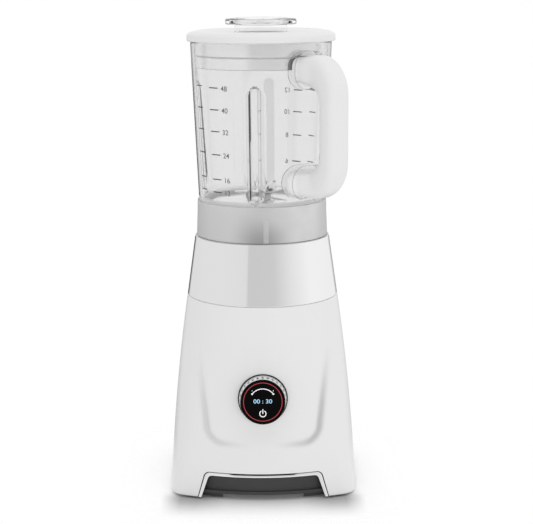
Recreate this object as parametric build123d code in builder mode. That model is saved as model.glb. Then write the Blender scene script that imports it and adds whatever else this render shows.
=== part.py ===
from build123d import *
import math
import os

os.makedirs("parts", exist_ok=True)

# Countertop blender in millimetres: +Z up, the front faces -Y, and the origin is the middle of the
# footprint on the worktop. Every height is measured from the worktop.

# Housing: a moulded shell that flares from a round neck to a bowed, rounded-square rim
rim_height = 2.0
housing_height = 175.0
rim_half_width = 87.8
rim_half_depth = 91.5
side_flare_bow = 0.52
front_flare_bow = 0.28
side_bow_radius = 800.0
front_bow_radius = 195.0
rim_corner_radius = 18.0
round_side_turn = 30.0
round_front_turn = 60.0
outline_levels = 5
housing_wall = 3.0
neck_wall = 2.4
neck_height = 18.0
neck_lap = 5.0

# Panel recess around the dial
recess_shoulder_gap = 27.0
recess_arch_gap = 24.0
recess_half_width_top = 60.0
recess_half_width_bottom = 47.5
recess_corner_radius = 12.0
recess_depth = 2.2
recess_depth_top = 0.3
recess_overrun = 8.0

# Front arch, the bright trim that lines it and the dark wall behind it
arch_half_width_rim = 61.0
arch_half_width_top = 53.5
arch_height = 24.0
arch_corner_radius = 6.0
trim_width = 3.2
trim_set_back = 0.5
front_wall_thickness = 2.5
front_wall_rise = 4.0
front_skirt_gap = 4.0
front_skirt_width = 20.0

# Bottom cover, feet and fasteners
cover_bottom = 5.5
cover_thickness = 3.0
cover_fit = 0.4
foot_block_bottom = 1.5
foot_radius = 7.0
foot_chamfer = 0.75
foot_wall = 2.2
foot_inset_x = 20.5
foot_inset_y = 27.5
screw_boss_lap = 0.7
screw_y = 20.0
screw_radius = 1.5
screw_head_radius = 3.0
screw_head_height = 2.0
screw_length = 18.0
screw_boss_radius = 5.0
screw_boss_length = 26.0
vent_count = 14
vent_radius = 23.0
vent_length = 16.0
vent_width = 4.0

# Cord gland at the back
gland_rise = 11.5
gland_barrel_radius = 6.5
gland_flange_radius = 9.0
gland_bore_radius = 3.7
gland_proud = 4.5
gland_bow_gap = 1.0
gland_tail = 9.0

# Jar and the handle in its sockets
jar_height = 151.0
jar_shoulder_radius = 58.5
jar_flare = 6.8
jar_wall = 3.0
jar_neck_length = 15.0
jar_neck_step = 4.0
jar_neck_wall = 3.6
floor_bend_height = 6.0
flute_count = 4
flute_turn = -7.0
flute_width = 11.0
flute_depth = 4.5
flute_top_gap = 39.0
flute_bottom_gap = 5.0
handle_turn = 38.0
handle_width = 23.0
handle_top_gap = 10.0
handle_bottom_gap = 12.3
handle_upper_arm = 30.0
handle_lower_arm = 31.7
handle_root_gap = 1.7
handle_hand_gap = 26.0
handle_grip_depth = 20.5
handle_outer_corner = 36.0
handle_inner_corner = 15.0
handle_edge_radius = 8.0
socket_wall = 2.2
socket_depth = 6.0
socket_corner_radius = 11.0
socket_clearance = 0.1

# Collar that clamps the blade unit to the jar
collar_height = 29.5
collar_proud = 0.2
collar_flare = 2.4
collar_wall = 2.6
collar_ledge_thickness = 4.0
collar_ledge_lap = 4.9
collar_rib_count = 8
collar_rib_width = 4.0
collar_rib_turn = -88.0
neck_fit = 0.3

# Steel band and the jar seat inside it
band_height = 53.0
band_flare = 7.5
band_thickness = 0.8
band_fit = 0.2
seat_lip_height = 3.2
seat_lip_width = 3.5
seat_lip_inset = 0.6
seat_lip_fillet = 1.2
seat_depth = 24.0
seat_deck_thickness = 3.0
seat_hole_gap = 6.5
pad_thickness = 2.0
pad_width = 18.8
jar_rest_gap = 0.2
jar_side_gap = 0.6
collar_lip_gap = 0.3
collar_lip_inset = 1.4

# Universal motor
bolt_pitch = 72.0
bolt_radius = 2.0
bolt_fit = 0.2
bolt_grip = 15.0
bolt_head_radius = 3.5
bolt_head_height = 3.0
bolt_leg_radius = 5.0
stator_margin = 6.0
stator_corner_radius = 8.0
stator_height = 44.0
stator_bore_radius = 24.5
coil_set_back = 0.7
coil_depth = 8.8
coil_half_angle = 56.0
pole_half_angle = 36.0
coil_overhang = 11.0
coil_fit = 0.3
coil_fit_angle = 1.0
post_radius = 6.0
post_height = 24.5
mount_thickness = 4.0
bracket_thickness = 4.0
bracket_window_count = 4
bracket_window_radius = 8.0
bracket_window_ring = 27.0
lower_leg_length = 37.0
upper_leg_length = 18.0
bearing_outer_radius = 11.0
bearing_width = 7.0
bearing_boss_wall = 4.0
bearing_lip = 2.0
bearing_lip_width = 3.0
race_width = 2.0
shield_depth = 0.5
shaft_radius = 4.0
shaft_tail = 2.0
shaft_end_cover = 2.0
running_clearance = 0.05
air_gap = 0.5
core_slot_count = 12
core_slot_width = 5.0
core_slot_depth = 9.0
winding_set_in = 4.0
winding_overhang = 10.0
winding_fit = 0.4
commutator_wall = 7.0
commutator_lift = 0.5
commutator_height = 15.0
commutator_bar_count = 24
commutator_gap = 0.6
commutator_gap_depth = 1.5
brush_width = 6.0
brush_height = 8.0
brush_length = 17.0
brush_gap = 0.2
brush_holder_wall = 2.0
brush_holder_gap = 3.0
brush_holder_length = 20.0
brush_holder_foot = 10.0
fan_radius = 36.0
fan_gap = 6.5
fan_height = 16.0
fan_hub_wall = 6.0
fan_plate_thickness = 2.0
fan_blade_count = 11
fan_blade_thickness = 2.0
shroud_gap = 2.5
shroud_thickness = 2.0
power_board_width = 64.0
power_board_height = 42.0
power_board_gap = 24.0
board_thickness = 1.6
capacitor_length = 22.0
capacitor_height = 14.0
capacitor_depth = 9.0

# Dial: a turning ring round a display window that is also the power button
dial_rise = 44.6
dial_tilt = 6.0
dial_hole_radius = 23.0
bezel_proud = 0.4
carrier_lap = 4.0
carrier_wall_gap = 1.2
carrier_flange_thickness = 4.0
carrier_barrel_wall = 2.4
carrier_barrel_gap = 0.6
ring_clearance = 0.3
ring_set_in = 0.9
ring_taper = 1.7
ring_edge = 0.75
ring_step = 2.4
ring_reach = 16.0
window_clearance = 0.25
window_thickness = 2.4
window_set_back = 0.4
light_ring_inset = 2.0
light_ring_width = 1.0
light_ring_thickness = 0.6
press_travel = 1.2
display_thickness = 6.0
display_set_back = 1.0
control_board_width = 66.0
control_board_height = 50.0

# Blade unit in the jar floor
gasket_thickness = 2.0
blade_seat_flange = 3.0
blade_seat_skin = 2.8
blade_seat_cup_gap = 0.6
floor_edge_drop = 3.0
floor_bend_inset = 6.3
floor_bend_rise = 3.0
floor_top_rise = 5.5
hub_wall = 4.0
hub_gap = 5.5
bushing_wall = 3.0
bushing_length = 11.0
seal_height = 2.5
seal_width = 4.5
seal_clearance = 0.3
washer_thickness = 1.2
washer_width = 4.0
blade_thickness = 1.5
blade_eye_wall = 3.5
blade_root = 10.0
blade_reach = 27.0
lower_blade_turn = 25.0
lower_blade_rise = 1.5
upper_blade_turn = 115.0
upper_blade_rise = 11.0
blade_tip_width = 3.0
blade_nut_height = 6.0
blade_nut_wall = 2.5
shaft_end_proud = 1.0

# Coupling between the motor shaft and the blade shaft
coupling_lift = 0.5
coupling_height = 12.5
coupling_core_wall = 3.0
coupling_tooth_height = 3.0
coupling_tooth_width = 3.6
coupling_tooth_count = 6
coupling_clearance = 0.5
coupling_hub_wall = 2.5
coupling_hub_drop = 1.0
driven_wall = 4.0
driven_lift = 2.5
driven_roof = 9.0

# Lid and measuring cap
lid_gap = 0.3
lid_overhang = 3.2
lid_rim_height = 5.7
lid_rim_width = 6.5
lid_rim_fillet = 2.4
lid_cone_height = 5.0
lid_neck_height = 2.4
lid_neck_wall = 3.8
lid_skin = 2.6
plug_gap = 2.0
plug_depth = 25.0
plug_wall = 2.6
lid_seal_depth = 16.0
lid_seal_height = 4.0
lid_seal_gap = 1.1
lid_seal_groove = 1.0
cap_skirt_radius = 24.2
cap_skirt_length = 29.4
cap_wall = 2.2
cap_hole_gap = 0.5
cap_rim_gap = 0.3
cap_rim_overhang = 8.6
cap_rim_height = 3.3
cap_rim_flat = 3.3
cap_crown_height = 3.5
cap_rim_fillet = 1.2

# Radii that follow from the jar outwards: the collar, the seat, the band and the housing's neck
jar_top_radius = jar_shoulder_radius + jar_flare
jar_neck_radius = jar_shoulder_radius - jar_neck_step
jar_neck_bore = jar_neck_radius - jar_neck_wall
collar_top_radius = jar_shoulder_radius + collar_proud
collar_step_radius = collar_top_radius + collar_flare
collar_ledge_inner = jar_neck_bore - collar_ledge_lap
seat_lip_radius = collar_step_radius + collar_lip_inset
seat_radius = seat_lip_radius - seat_lip_width
collar_foot_radius = seat_radius - jar_side_gap
pad_inner_radius = seat_radius - band_fit - pad_width
band_top_radius = seat_lip_radius + seat_lip_inset
neck_radius = band_top_radius + band_flare

# Heights that follow from the worktop up: the base, the motor, the seat, the jar and the lid
housing_top = rim_height + housing_height
neck_top = housing_top + neck_height
arch_top = rim_height + arch_height
recess_top = housing_top - recess_shoulder_gap
recess_bottom = arch_top + recess_arch_gap
dial_height = recess_bottom + dial_rise
cover_top = cover_bottom + cover_thickness
gland_height = cover_top + gland_rise
fan_bottom = cover_top + fan_gap
shaft_bottom = fan_bottom - shaft_tail
mount_bottom = cover_top + post_height
mount_top = mount_bottom + mount_thickness
lower_bracket_top = mount_top + bracket_thickness
commutator_bottom = mount_top + bearing_width + bearing_lip + commutator_lift
stator_bottom = lower_bracket_top + lower_leg_length
stator_top = stator_bottom + stator_height
upper_bracket_bottom = stator_top + upper_leg_length
upper_bracket_top = upper_bracket_bottom + bracket_thickness
band_top = housing_top + band_height
seat_lip_top = band_top + seat_lip_height
seat_deck_top = band_top - seat_depth
coupling_bottom = seat_deck_top + pad_thickness + coupling_lift
coupling_top = coupling_bottom + coupling_height
collar_step = seat_lip_top + collar_lip_gap
jar_shoulder = collar_step + collar_height
jar_neck_bottom = jar_shoulder - jar_neck_length
jar_top = jar_shoulder + jar_height
flute_bottom = jar_shoulder + flute_bottom_gap
flute_top = jar_top - flute_top_gap
handle_bottom = jar_shoulder + handle_bottom_gap
handle_top = jar_top - handle_top_gap
floor_edge = jar_shoulder - floor_edge_drop
floor_bend = jar_shoulder + floor_bend_rise
floor_top = jar_shoulder + floor_top_rise
lid_bottom = jar_top + lid_gap
lid_rim_top = lid_bottom + lid_rim_height
lid_cone_top = lid_rim_top + lid_cone_height
lid_neck_top = lid_cone_top + lid_neck_height
plug_bottom = jar_top - plug_depth
lid_seal_bottom = jar_top - lid_seal_depth
cap_skirt_bottom = lid_neck_top - cap_skirt_length
cap_rim_bottom = lid_neck_top + cap_rim_gap
cap_rim_top = cap_rim_bottom + cap_rim_height
cap_crown = cap_rim_top + cap_crown_height


# Housing outlines

def flared(height, rim_reach, bow):
    """How far the housing's skin stands out from the axis at a height, given its reach at the rim."""
    drop = (housing_top - height) / housing_height
    swell = (1 + bow) * drop - bow * drop**2
    return neck_radius + (rim_reach - neck_radius) * swell


def bowed(height, bow_radius):
    """Radius of a side's bow at a height: the neck's own radius at the top, the bow's at the rim."""
    drop = (housing_top - height) / housing_height
    return 1 / ((1 - drop) / neck_radius + drop / bow_radius)


def housing_outline(height, inset):
    """Level outline of the housing: four bowed sides joined by tangent corner arcs."""
    drop = (housing_top - height) / housing_height
    half_width = flared(height, rim_half_width, side_flare_bow) - inset
    half_depth = flared(height, rim_half_depth, front_flare_bow) - inset
    side_radius = bowed(height, side_bow_radius) - inset
    front_radius = bowed(height, front_bow_radius) - inset
    corner_radius = neck_radius + (rim_corner_radius - neck_radius) * drop - inset
    side_centre = half_width - side_radius
    front_centre = half_depth - front_radius
    side_turn = math.radians(round_side_turn)
    front_turn = math.radians(round_front_turn)
    corner_x = 0.0
    corner_y = 0.0
    if drop > 0:
        # The corner arc touches both bows from inside, which fixes its centre
        side_reach = side_radius - corner_radius
        front_reach = front_radius - corner_radius
        apart = math.hypot(side_centre, front_centre)
        along = (side_reach**2 - front_reach**2 + apart**2) / (2 * apart)
        across = math.sqrt(side_reach**2 - along**2)
        step_x = -side_centre / apart
        step_y = front_centre / apart
        corner_x = side_centre + along * step_x - across * step_y
        corner_y = along * step_y + across * step_x
        side_turn = math.atan2(corner_y, corner_x - side_centre)
        front_turn = math.atan2(corner_y - front_centre, corner_x)
    middle_turn = (side_turn + front_turn) / 2
    side_point = (side_centre + side_radius * math.cos(side_turn), side_radius * math.sin(side_turn))
    front_point = (
        front_radius * math.cos(front_turn),
        front_centre + front_radius * math.sin(front_turn),
    )
    corner_point = (
        corner_x + corner_radius * math.cos(middle_turn),
        corner_y + corner_radius * math.sin(middle_turn),
    )
    with BuildSketch(Plane.XY.offset(height)) as outline:
        with BuildLine():
            for sign_x, sign_y in ((1, 1), (-1, 1), (-1, -1), (1, -1)):
                ThreePointArc(
                    (sign_x * side_point[0], sign_y * side_point[1]),
                    (sign_x * corner_point[0], sign_y * corner_point[1]),
                    (sign_x * front_point[0], sign_y * front_point[1]),
                )
            for sign in (1, -1):
                ThreePointArc(
                    (-front_point[0], sign * front_point[1]),
                    (0, sign * half_depth),
                    (front_point[0], sign * front_point[1]),
                )
                ThreePointArc(
                    (sign * side_point[0], -side_point[1]),
                    (sign * half_width, 0),
                    (sign * side_point[0], side_point[1]),
                )
        make_face()
    return outline.sketch.face()


def housing_levels(inset):
    """Outlines from the rim to the neck, all the same depth inside the housing's skin."""
    step = housing_height / (outline_levels - 1)
    return [housing_outline(rim_height + step * level, inset) for level in range(outline_levels)]


def recess_inset(height):
    """How deep the recess floor lies below the housing's skin at a height."""
    slope = (recess_depth - recess_depth_top) / (recess_top - recess_bottom)
    return recess_depth_top + slope * (recess_top - height)


def recess_levels():
    """Outlines of the recess floor: deepest at the bottom, almost back at the skin at the top."""
    low = recess_bottom - recess_overrun
    high = recess_top + recess_overrun
    heights = (low, (low + high) / 2, high)
    return [housing_outline(height, recess_inset(height)) for height in heights]


def band_radius(height):
    """Outside radius of the steel band, which tapers straight from the housing to the jar seat."""
    return neck_radius - band_flare / band_height * (height - housing_top)


dial_face_depth = flared(dial_height, rim_half_depth, front_flare_bow) - recess_inset(dial_height)
dial_plane = Plane(
    origin=(0, -dial_face_depth, dial_height),
    x_dir=(1, 0, 0),
    z_dir=(0, -math.cos(math.radians(dial_tilt)), math.sin(math.radians(dial_tilt))),
)
carrier_flange_radius = dial_hole_radius + carrier_lap
wall_bow_radius = bowed(dial_height, front_bow_radius)
wall_bow_drop = wall_bow_radius - math.sqrt(wall_bow_radius**2 - carrier_flange_radius**2)
wall_back_depth = housing_wall - recess_inset(dial_height)
carrier_flange_front = wall_back_depth + wall_bow_drop + carrier_wall_gap
back_depth = flared(gland_height, rim_half_depth, front_flare_bow)
gland_plane = Plane(origin=(0, back_depth, gland_height), x_dir=(1, 0, 0), z_dir=(0, 1, 0))
gland_reach = rim_half_depth + gland_proud
screw_boss_top = cover_top + screw_boss_length
screw_x = flared(screw_boss_top, rim_half_width, side_flare_bow) - housing_wall - screw_boss_radius + screw_boss_lap
foot_x = rim_half_width - foot_inset_x
foot_y = rim_half_depth - foot_inset_y
foot_block_radius = foot_radius + foot_wall
front_skirt_outer = arch_half_width_rim - front_skirt_gap
front_skirt_inner = front_skirt_outer - front_skirt_width


def arch_outline(inset):
    """Front arch seen from the front, open below, moved inwards by an inset."""
    lean = (arch_half_width_rim - arch_half_width_top) / arch_top
    with BuildSketch(Plane.XZ) as outline:
        with BuildLine():
            Polyline(
                (-arch_half_width_rim + inset - lean * rim_height, -rim_height),
                (-arch_half_width_top + inset, arch_top - inset),
                (arch_half_width_top - inset, arch_top - inset),
                (arch_half_width_rim - inset + lean * rim_height, -rim_height),
                close=True,
            )
        make_face()
        fillet(outline.vertices().group_by(Axis.Y)[-1], arch_corner_radius - inset / 2)
    return outline.sketch.face()


# Base housing: shell, neck under the steel band, screw bosses, recess, arch and openings
with BuildPart() as panel_recess:
    with BuildSketch(Plane.XZ) as recess_outline:
        with BuildLine():
            Polyline(
                (-recess_half_width_bottom, recess_bottom),
                (recess_half_width_bottom, recess_bottom),
                (recess_half_width_top, recess_top),
                (-recess_half_width_top, recess_top),
                close=True,
            )
        make_face()
        fillet(recess_outline.vertices().group_by(Axis.Y)[0], recess_corner_radius)
    extrude(amount=rim_half_depth)
    loft(recess_levels(), mode=Mode.SUBTRACT)

with BuildPart() as base_housing:
    loft(housing_levels(0))
    loft(housing_levels(housing_wall), mode=Mode.SUBTRACT)
    with BuildSketch(Plane.XZ):
        with BuildLine():
            neck_outer_low = band_radius(housing_top) - band_thickness - band_fit
            neck_outer_high = band_radius(neck_top) - band_thickness - band_fit
            Polyline(
                (neck_outer_low - neck_wall, housing_top - neck_lap),
                (neck_outer_low, housing_top - neck_lap),
                (neck_outer_low, housing_top),
                (neck_outer_high, neck_top),
                (neck_outer_high - neck_wall, neck_top),
                (neck_outer_low - neck_wall, housing_top),
                close=True,
            )
        make_face()
    revolve(axis=Axis.Z)
    with BuildSketch(Plane.XY.offset(cover_top)):
        with GridLocations(2 * screw_x, 2 * screw_y, 2, 2):
            Circle(screw_boss_radius)
            Circle(screw_radius, mode=Mode.SUBTRACT)
    extrude(amount=screw_boss_length)
    add(panel_recess.part, mode=Mode.SUBTRACT)
    extrude(arch_outline(0), amount=rim_half_depth, mode=Mode.SUBTRACT)
    with BuildSketch(dial_plane):
        Circle(dial_hole_radius)
    extrude(amount=2 * carrier_flange_front, both=True, mode=Mode.SUBTRACT)
    with BuildSketch(gland_plane):
        Circle(gland_barrel_radius)
    extrude(amount=2 * housing_wall, both=True, mode=Mode.SUBTRACT)

base_housing.part.label = "base_housing"
export_step(base_housing.part, "parts/base_housing.step")

# Arch trim: a bright strip set into the thickness of the wall
with BuildPart() as arch_trim:
    loft(housing_levels(trim_set_back))
    loft(housing_levels(housing_wall), mode=Mode.SUBTRACT)
    extrude(arch_outline(0), amount=rim_half_depth, mode=Mode.INTERSECT)
    extrude(arch_outline(trim_width), amount=rim_half_depth, mode=Mode.SUBTRACT)

arch_trim.part.label = "arch_trim"
export_step(arch_trim.part, "parts/arch_trim.step")

# Bottom cover: floor plate, foot blocks, motor posts, air vents and the wall behind the arch
front_wall_top = arch_top + front_wall_rise
front_wall_inset = housing_wall + cover_fit

with BuildPart() as front_wall:
    wall_drop = foot_block_bottom - front_wall_top
    extrude(housing_outline(front_wall_top, front_wall_inset), amount=wall_drop)
    wall_back = housing_outline(front_wall_top, front_wall_inset + front_wall_thickness)
    extrude(wall_back, amount=wall_drop, mode=Mode.SUBTRACT)
    with BuildSketch(Plane.XY.offset(foot_block_bottom)):
        Rectangle(2 * front_skirt_outer, rim_half_depth, align=(Align.CENTER, Align.MAX))
    extrude(amount=-wall_drop, mode=Mode.INTERSECT)
    with BuildSketch(Plane.XY.offset(foot_block_bottom)):
        Rectangle(2 * front_skirt_inner, rim_half_depth, align=(Align.CENTER, Align.MAX))
    extrude(amount=cover_bottom - foot_block_bottom, mode=Mode.SUBTRACT)

with BuildPart() as bottom_cover:
    extrude(housing_outline(cover_top, housing_wall + cover_fit), amount=-cover_thickness)
    add(front_wall.part)
    with BuildSketch(Plane.XY.offset(foot_block_bottom)):
        with GridLocations(2 * foot_x, 2 * foot_y, 2, 2):
            Circle(foot_block_radius)
            Circle(foot_radius, mode=Mode.SUBTRACT)
    extrude(amount=cover_bottom - foot_block_bottom)
    with BuildSketch(Plane.XY.offset(cover_top)):
        with GridLocations(bolt_pitch, bolt_pitch, 2, 2):
            Circle(post_radius)
            Circle(bolt_radius, mode=Mode.SUBTRACT)
    extrude(amount=mount_bottom - cover_top)
    with BuildSketch(Plane.XY.offset(cover_bottom)):
        with PolarLocations(vent_radius, vent_count):
            Rectangle(vent_length, vent_width)
        with GridLocations(2 * screw_x, 2 * screw_y, 2, 2):
            Circle(screw_radius)
    extrude(amount=cover_thickness, mode=Mode.SUBTRACT)

bottom_cover.part.label = "bottom_cover"
export_step(bottom_cover.part, "parts/bottom_cover.step")

# Rubber feet pressed into the foot blocks
with BuildPart() as feet:
    with BuildSketch():
        with GridLocations(2 * foot_x, 2 * foot_y, 2, 2):
            Circle(foot_radius)
    extrude(amount=cover_bottom)
    chamfer(feet.edges().group_by(Axis.Z)[0], foot_chamfer)

feet.part.label = "feet"
export_step(feet.part, "parts/feet.step")

# Screws that hold the bottom cover to the housing
with BuildPart() as cover_screws:
    with BuildSketch(Plane.XY.offset(cover_bottom)):
        with GridLocations(2 * screw_x, 2 * screw_y, 2, 2):
            Circle(screw_radius)
    extrude(amount=screw_length)
    with BuildSketch(Plane.XY.offset(cover_bottom)):
        with GridLocations(2 * screw_x, 2 * screw_y, 2, 2):
            Circle(screw_head_radius)
    extrude(amount=-screw_head_height)

cover_screws.part.label = "cover_screws"
export_step(cover_screws.part, "parts/cover_screws.step")

# Cord gland: a snap-in bush through the back wall
with BuildPart() as cord_gland:
    with BuildSketch(gland_plane.offset(-gland_tail)):
        Circle(gland_barrel_radius)
    extrude(amount=gland_tail + gland_bow_gap)
    with BuildSketch(gland_plane.offset(gland_bow_gap)):
        Circle(gland_flange_radius)
    extrude(amount=gland_reach - back_depth - gland_bow_gap)
    fillet(cord_gland.edges().group_by(Axis.Y)[-1], gland_flange_radius - gland_barrel_radius)
    with BuildSketch(gland_plane.offset(-gland_tail)):
        Circle(gland_bore_radius)
    extrude(amount=gland_tail + gland_reach, mode=Mode.SUBTRACT)

cord_gland.part.label = "cord_gland"
export_step(cord_gland.part, "parts/cord_gland.step")

# Steel band: a tapered polished sleeve standing on the housing's shoulder
with BuildPart() as steel_band:
    with BuildSketch(Plane.XZ):
        with BuildLine():
            Polyline(
                (band_radius(housing_top), housing_top),
                (band_top_radius, band_top),
                (band_top_radius - band_thickness, band_top),
                (band_radius(housing_top) - band_thickness, housing_top),
                close=True,
            )
        make_face()
    revolve(axis=Axis.Z)

steel_band.part.label = "steel_band"
export_step(steel_band.part, "parts/steel_band.step")

# Jar seat: the socket inside the band, with a lip over the band's top edge
coupling_hub_radius = shaft_radius + coupling_hub_wall
seat_shaft_hole_radius = coupling_hub_radius + seat_hole_gap

with BuildPart() as jar_seat:
    with BuildSketch(Plane.XZ) as seat_profile:
        with BuildLine():
            seat_outer_low = band_radius(neck_top) - band_thickness - band_fit
            seat_deck_bottom = seat_deck_top - seat_deck_thickness
            Polyline(
                (seat_shaft_hole_radius, seat_deck_bottom),
                (seat_outer_low - neck_wall, seat_deck_bottom),
                (seat_outer_low - neck_wall, neck_top),
                (seat_outer_low, neck_top),
                (band_top_radius - band_thickness - band_fit, band_top),
                (seat_lip_radius, band_top),
                (seat_lip_radius, seat_lip_top),
                (seat_radius, seat_lip_top),
                (seat_radius, seat_deck_top),
                (seat_shaft_hole_radius, seat_deck_top),
                close=True,
            )
        make_face()
        fillet(seat_profile.vertices().group_by(Axis.Y)[-1].sort_by(Axis.X)[-1], seat_lip_fillet)
    revolve(axis=Axis.Z)

jar_seat.part.label = "jar_seat"
export_step(jar_seat.part, "parts/jar_seat.step")

# Seat pad: a flat rubber ring that the jar stands on
with BuildPart() as seat_pad:
    with BuildSketch(Plane.XY.offset(seat_deck_top)):
        Circle(seat_radius - band_fit)
        Circle(pad_inner_radius, mode=Mode.SUBTRACT)
    extrude(amount=pad_thickness)

seat_pad.part.label = "seat_pad"
export_step(seat_pad.part, "parts/seat_pad.step")


# Motor

def sector(height, inner, outer, middle, half_angle):
    """Level face of a ring sector, centred on the motor's axis."""
    start = middle - half_angle
    with BuildSketch(Plane.XY.offset(height)) as face:
        with BuildLine():
            rim = CenterArc((0, 0), outer, start, 2 * half_angle)
            bore = CenterArc((0, 0), inner, start, 2 * half_angle)
            Line(rim @ 0, bore @ 0)
            Line(rim @ 1, bore @ 1)
        make_face()
    return face.sketch.face()


stator_width = bolt_pitch + 2 * stator_margin
coil_inner_radius = stator_bore_radius + coil_set_back
coil_outer_radius = coil_inner_radius + coil_depth
bracket_width = bolt_pitch + 2 * post_radius
bracket_window_turn = 180 / bracket_window_count
bearing_lip_radius = bearing_outer_radius - bearing_lip_width
commutator_radius = shaft_radius + commutator_wall

# Stator: a stack of sheet-steel stampings with two poles
with BuildPart() as motor_stator:
    with BuildSketch(Plane.XY.offset(stator_bottom)):
        RectangleRounded(stator_width, stator_width, stator_corner_radius)
        Circle(stator_bore_radius, mode=Mode.SUBTRACT)
        with GridLocations(bolt_pitch, bolt_pitch, 2, 2):
            Circle(bolt_radius + bolt_fit, mode=Mode.SUBTRACT)
    extrude(amount=stator_height)
    slot_half_angle = (coil_half_angle - pole_half_angle) / 2
    slot_middle = (coil_half_angle + pole_half_angle) / 2
    for pole in (0, 180):
        for side in (1, -1):
            slot_face = sector(
                stator_bottom,
                stator_bore_radius - air_gap,
                coil_outer_radius + coil_fit,
                pole + side * slot_middle,
                slot_half_angle,
            )
            extrude(slot_face, amount=stator_height, mode=Mode.SUBTRACT)

motor_stator.part.label = "motor_stator"
export_step(motor_stator.part, "parts/motor_stator.step")

# Field coils: one saddle of copper wire around each pole
with BuildPart() as field_coils:
    coil_bottom = stator_bottom - coil_overhang
    coil_height = stator_height + 2 * coil_overhang
    window_height = stator_height + 2 * coil_fit
    for pole in (0, 180):
        saddle = sector(
            coil_bottom, coil_inner_radius, coil_outer_radius, pole, coil_half_angle - coil_fit_angle
        )
        extrude(saddle, amount=coil_height)
        window = sector(
            stator_bottom - coil_fit,
            coil_inner_radius - coil_fit,
            coil_outer_radius + coil_fit,
            pole,
            pole_half_angle + coil_fit_angle,
        )
        extrude(window, amount=window_height, mode=Mode.SUBTRACT)

field_coils.part.label = "field_coils"
export_step(field_coils.part, "parts/field_coils.step")

# Lower bracket: plate on the rubber mounts, bearing boss and four legs up to the stator
with BuildPart() as lower_bracket:
    with BuildSketch(Plane.XY.offset(mount_top)):
        RectangleRounded(bracket_width, bracket_width, post_radius)
        with PolarLocations(bracket_window_ring, bracket_window_count, bracket_window_turn):
            Circle(bracket_window_radius, mode=Mode.SUBTRACT)
    extrude(amount=bracket_thickness)
    with BuildSketch(Plane.XY.offset(mount_top)):
        Circle(bearing_outer_radius + bearing_boss_wall)
    extrude(amount=bearing_width + bearing_lip)
    with BuildSketch(Plane.XY.offset(mount_top)):
        with GridLocations(bolt_pitch, bolt_pitch, 2, 2):
            Circle(bolt_leg_radius)
    extrude(amount=stator_bottom - mount_top)
    with BuildSketch(Plane.XY.offset(mount_top)):
        Circle(bearing_outer_radius)
    extrude(amount=bearing_width, mode=Mode.SUBTRACT)
    with BuildSketch(Plane.XY.offset(mount_top)):
        Circle(bearing_lip_radius)
        with GridLocations(bolt_pitch, bolt_pitch, 2, 2):
            Circle(bolt_radius + bolt_fit)
    extrude(amount=stator_bottom - mount_top, mode=Mode.SUBTRACT)

lower_bracket.part.label = "lower_bracket"
export_step(lower_bracket.part, "parts/lower_bracket.step")

# Upper bracket: the same casting turned over, with shorter legs down to the stator
upper_bearing_bottom = upper_bracket_top - bearing_width
with BuildPart() as upper_bracket:
    with BuildSketch(Plane.XY.offset(upper_bracket_bottom)):
        RectangleRounded(bracket_width, bracket_width, post_radius)
        with PolarLocations(bracket_window_ring, bracket_window_count, bracket_window_turn):
            Circle(bracket_window_radius, mode=Mode.SUBTRACT)
    extrude(amount=bracket_thickness)
    with BuildSketch(Plane.XY.offset(upper_bearing_bottom - bearing_lip)):
        Circle(bearing_outer_radius + bearing_boss_wall)
    extrude(amount=bearing_width + bearing_lip)
    with BuildSketch(Plane.XY.offset(stator_top)):
        with GridLocations(bolt_pitch, bolt_pitch, 2, 2):
            Circle(bolt_leg_radius)
    extrude(amount=upper_bracket_top - stator_top)
    with BuildSketch(Plane.XY.offset(upper_bearing_bottom)):
        Circle(bearing_outer_radius)
    extrude(amount=bearing_width, mode=Mode.SUBTRACT)
    with BuildSketch(Plane.XY.offset(stator_top)):
        Circle(bearing_lip_radius)
        with GridLocations(bolt_pitch, bolt_pitch, 2, 2):
            Circle(bolt_radius + bolt_fit)
    extrude(amount=upper_bracket_top - stator_top, mode=Mode.SUBTRACT)

upper_bracket.part.label = "upper_bracket"
export_step(upper_bracket.part, "parts/upper_bracket.step")


def ball_bearing(bottom):
    """Shielded ball bearing on the motor shaft, with a shallow step between its two races."""
    shield_outer = bearing_outer_radius - race_width
    shield_inner = shaft_radius + race_width
    with BuildPart() as bearing:
        with BuildSketch(Plane.XY.offset(bottom)):
            Circle(bearing_outer_radius)
            Circle(shaft_radius + running_clearance, mode=Mode.SUBTRACT)
        extrude(amount=bearing_width)
        for step in (bottom, bottom + bearing_width - shield_depth):
            with BuildSketch(Plane.XY.offset(step)):
                Circle(shield_outer)
                Circle(shield_inner, mode=Mode.SUBTRACT)
            extrude(amount=shield_depth, mode=Mode.SUBTRACT)
    return bearing


# Ball bearings in the two brackets
lower_bearing = ball_bearing(mount_top)
lower_bearing.part.label = "lower_bearing"
export_step(lower_bearing.part, "parts/lower_bearing.step")

upper_bearing = ball_bearing(upper_bearing_bottom)
upper_bearing.part.label = "upper_bearing"
export_step(upper_bearing.part, "parts/upper_bearing.step")

# Rubber mounts between the cover's posts and the lower bracket
with BuildPart() as motor_mounts:
    with BuildSketch(Plane.XY.offset(mount_bottom)):
        with GridLocations(bolt_pitch, bolt_pitch, 2, 2):
            Circle(post_radius)
            Circle(bolt_radius, mode=Mode.SUBTRACT)
    extrude(amount=mount_thickness)

motor_mounts.part.label = "motor_mounts"
export_step(motor_mounts.part, "parts/motor_mounts.step")

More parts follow.
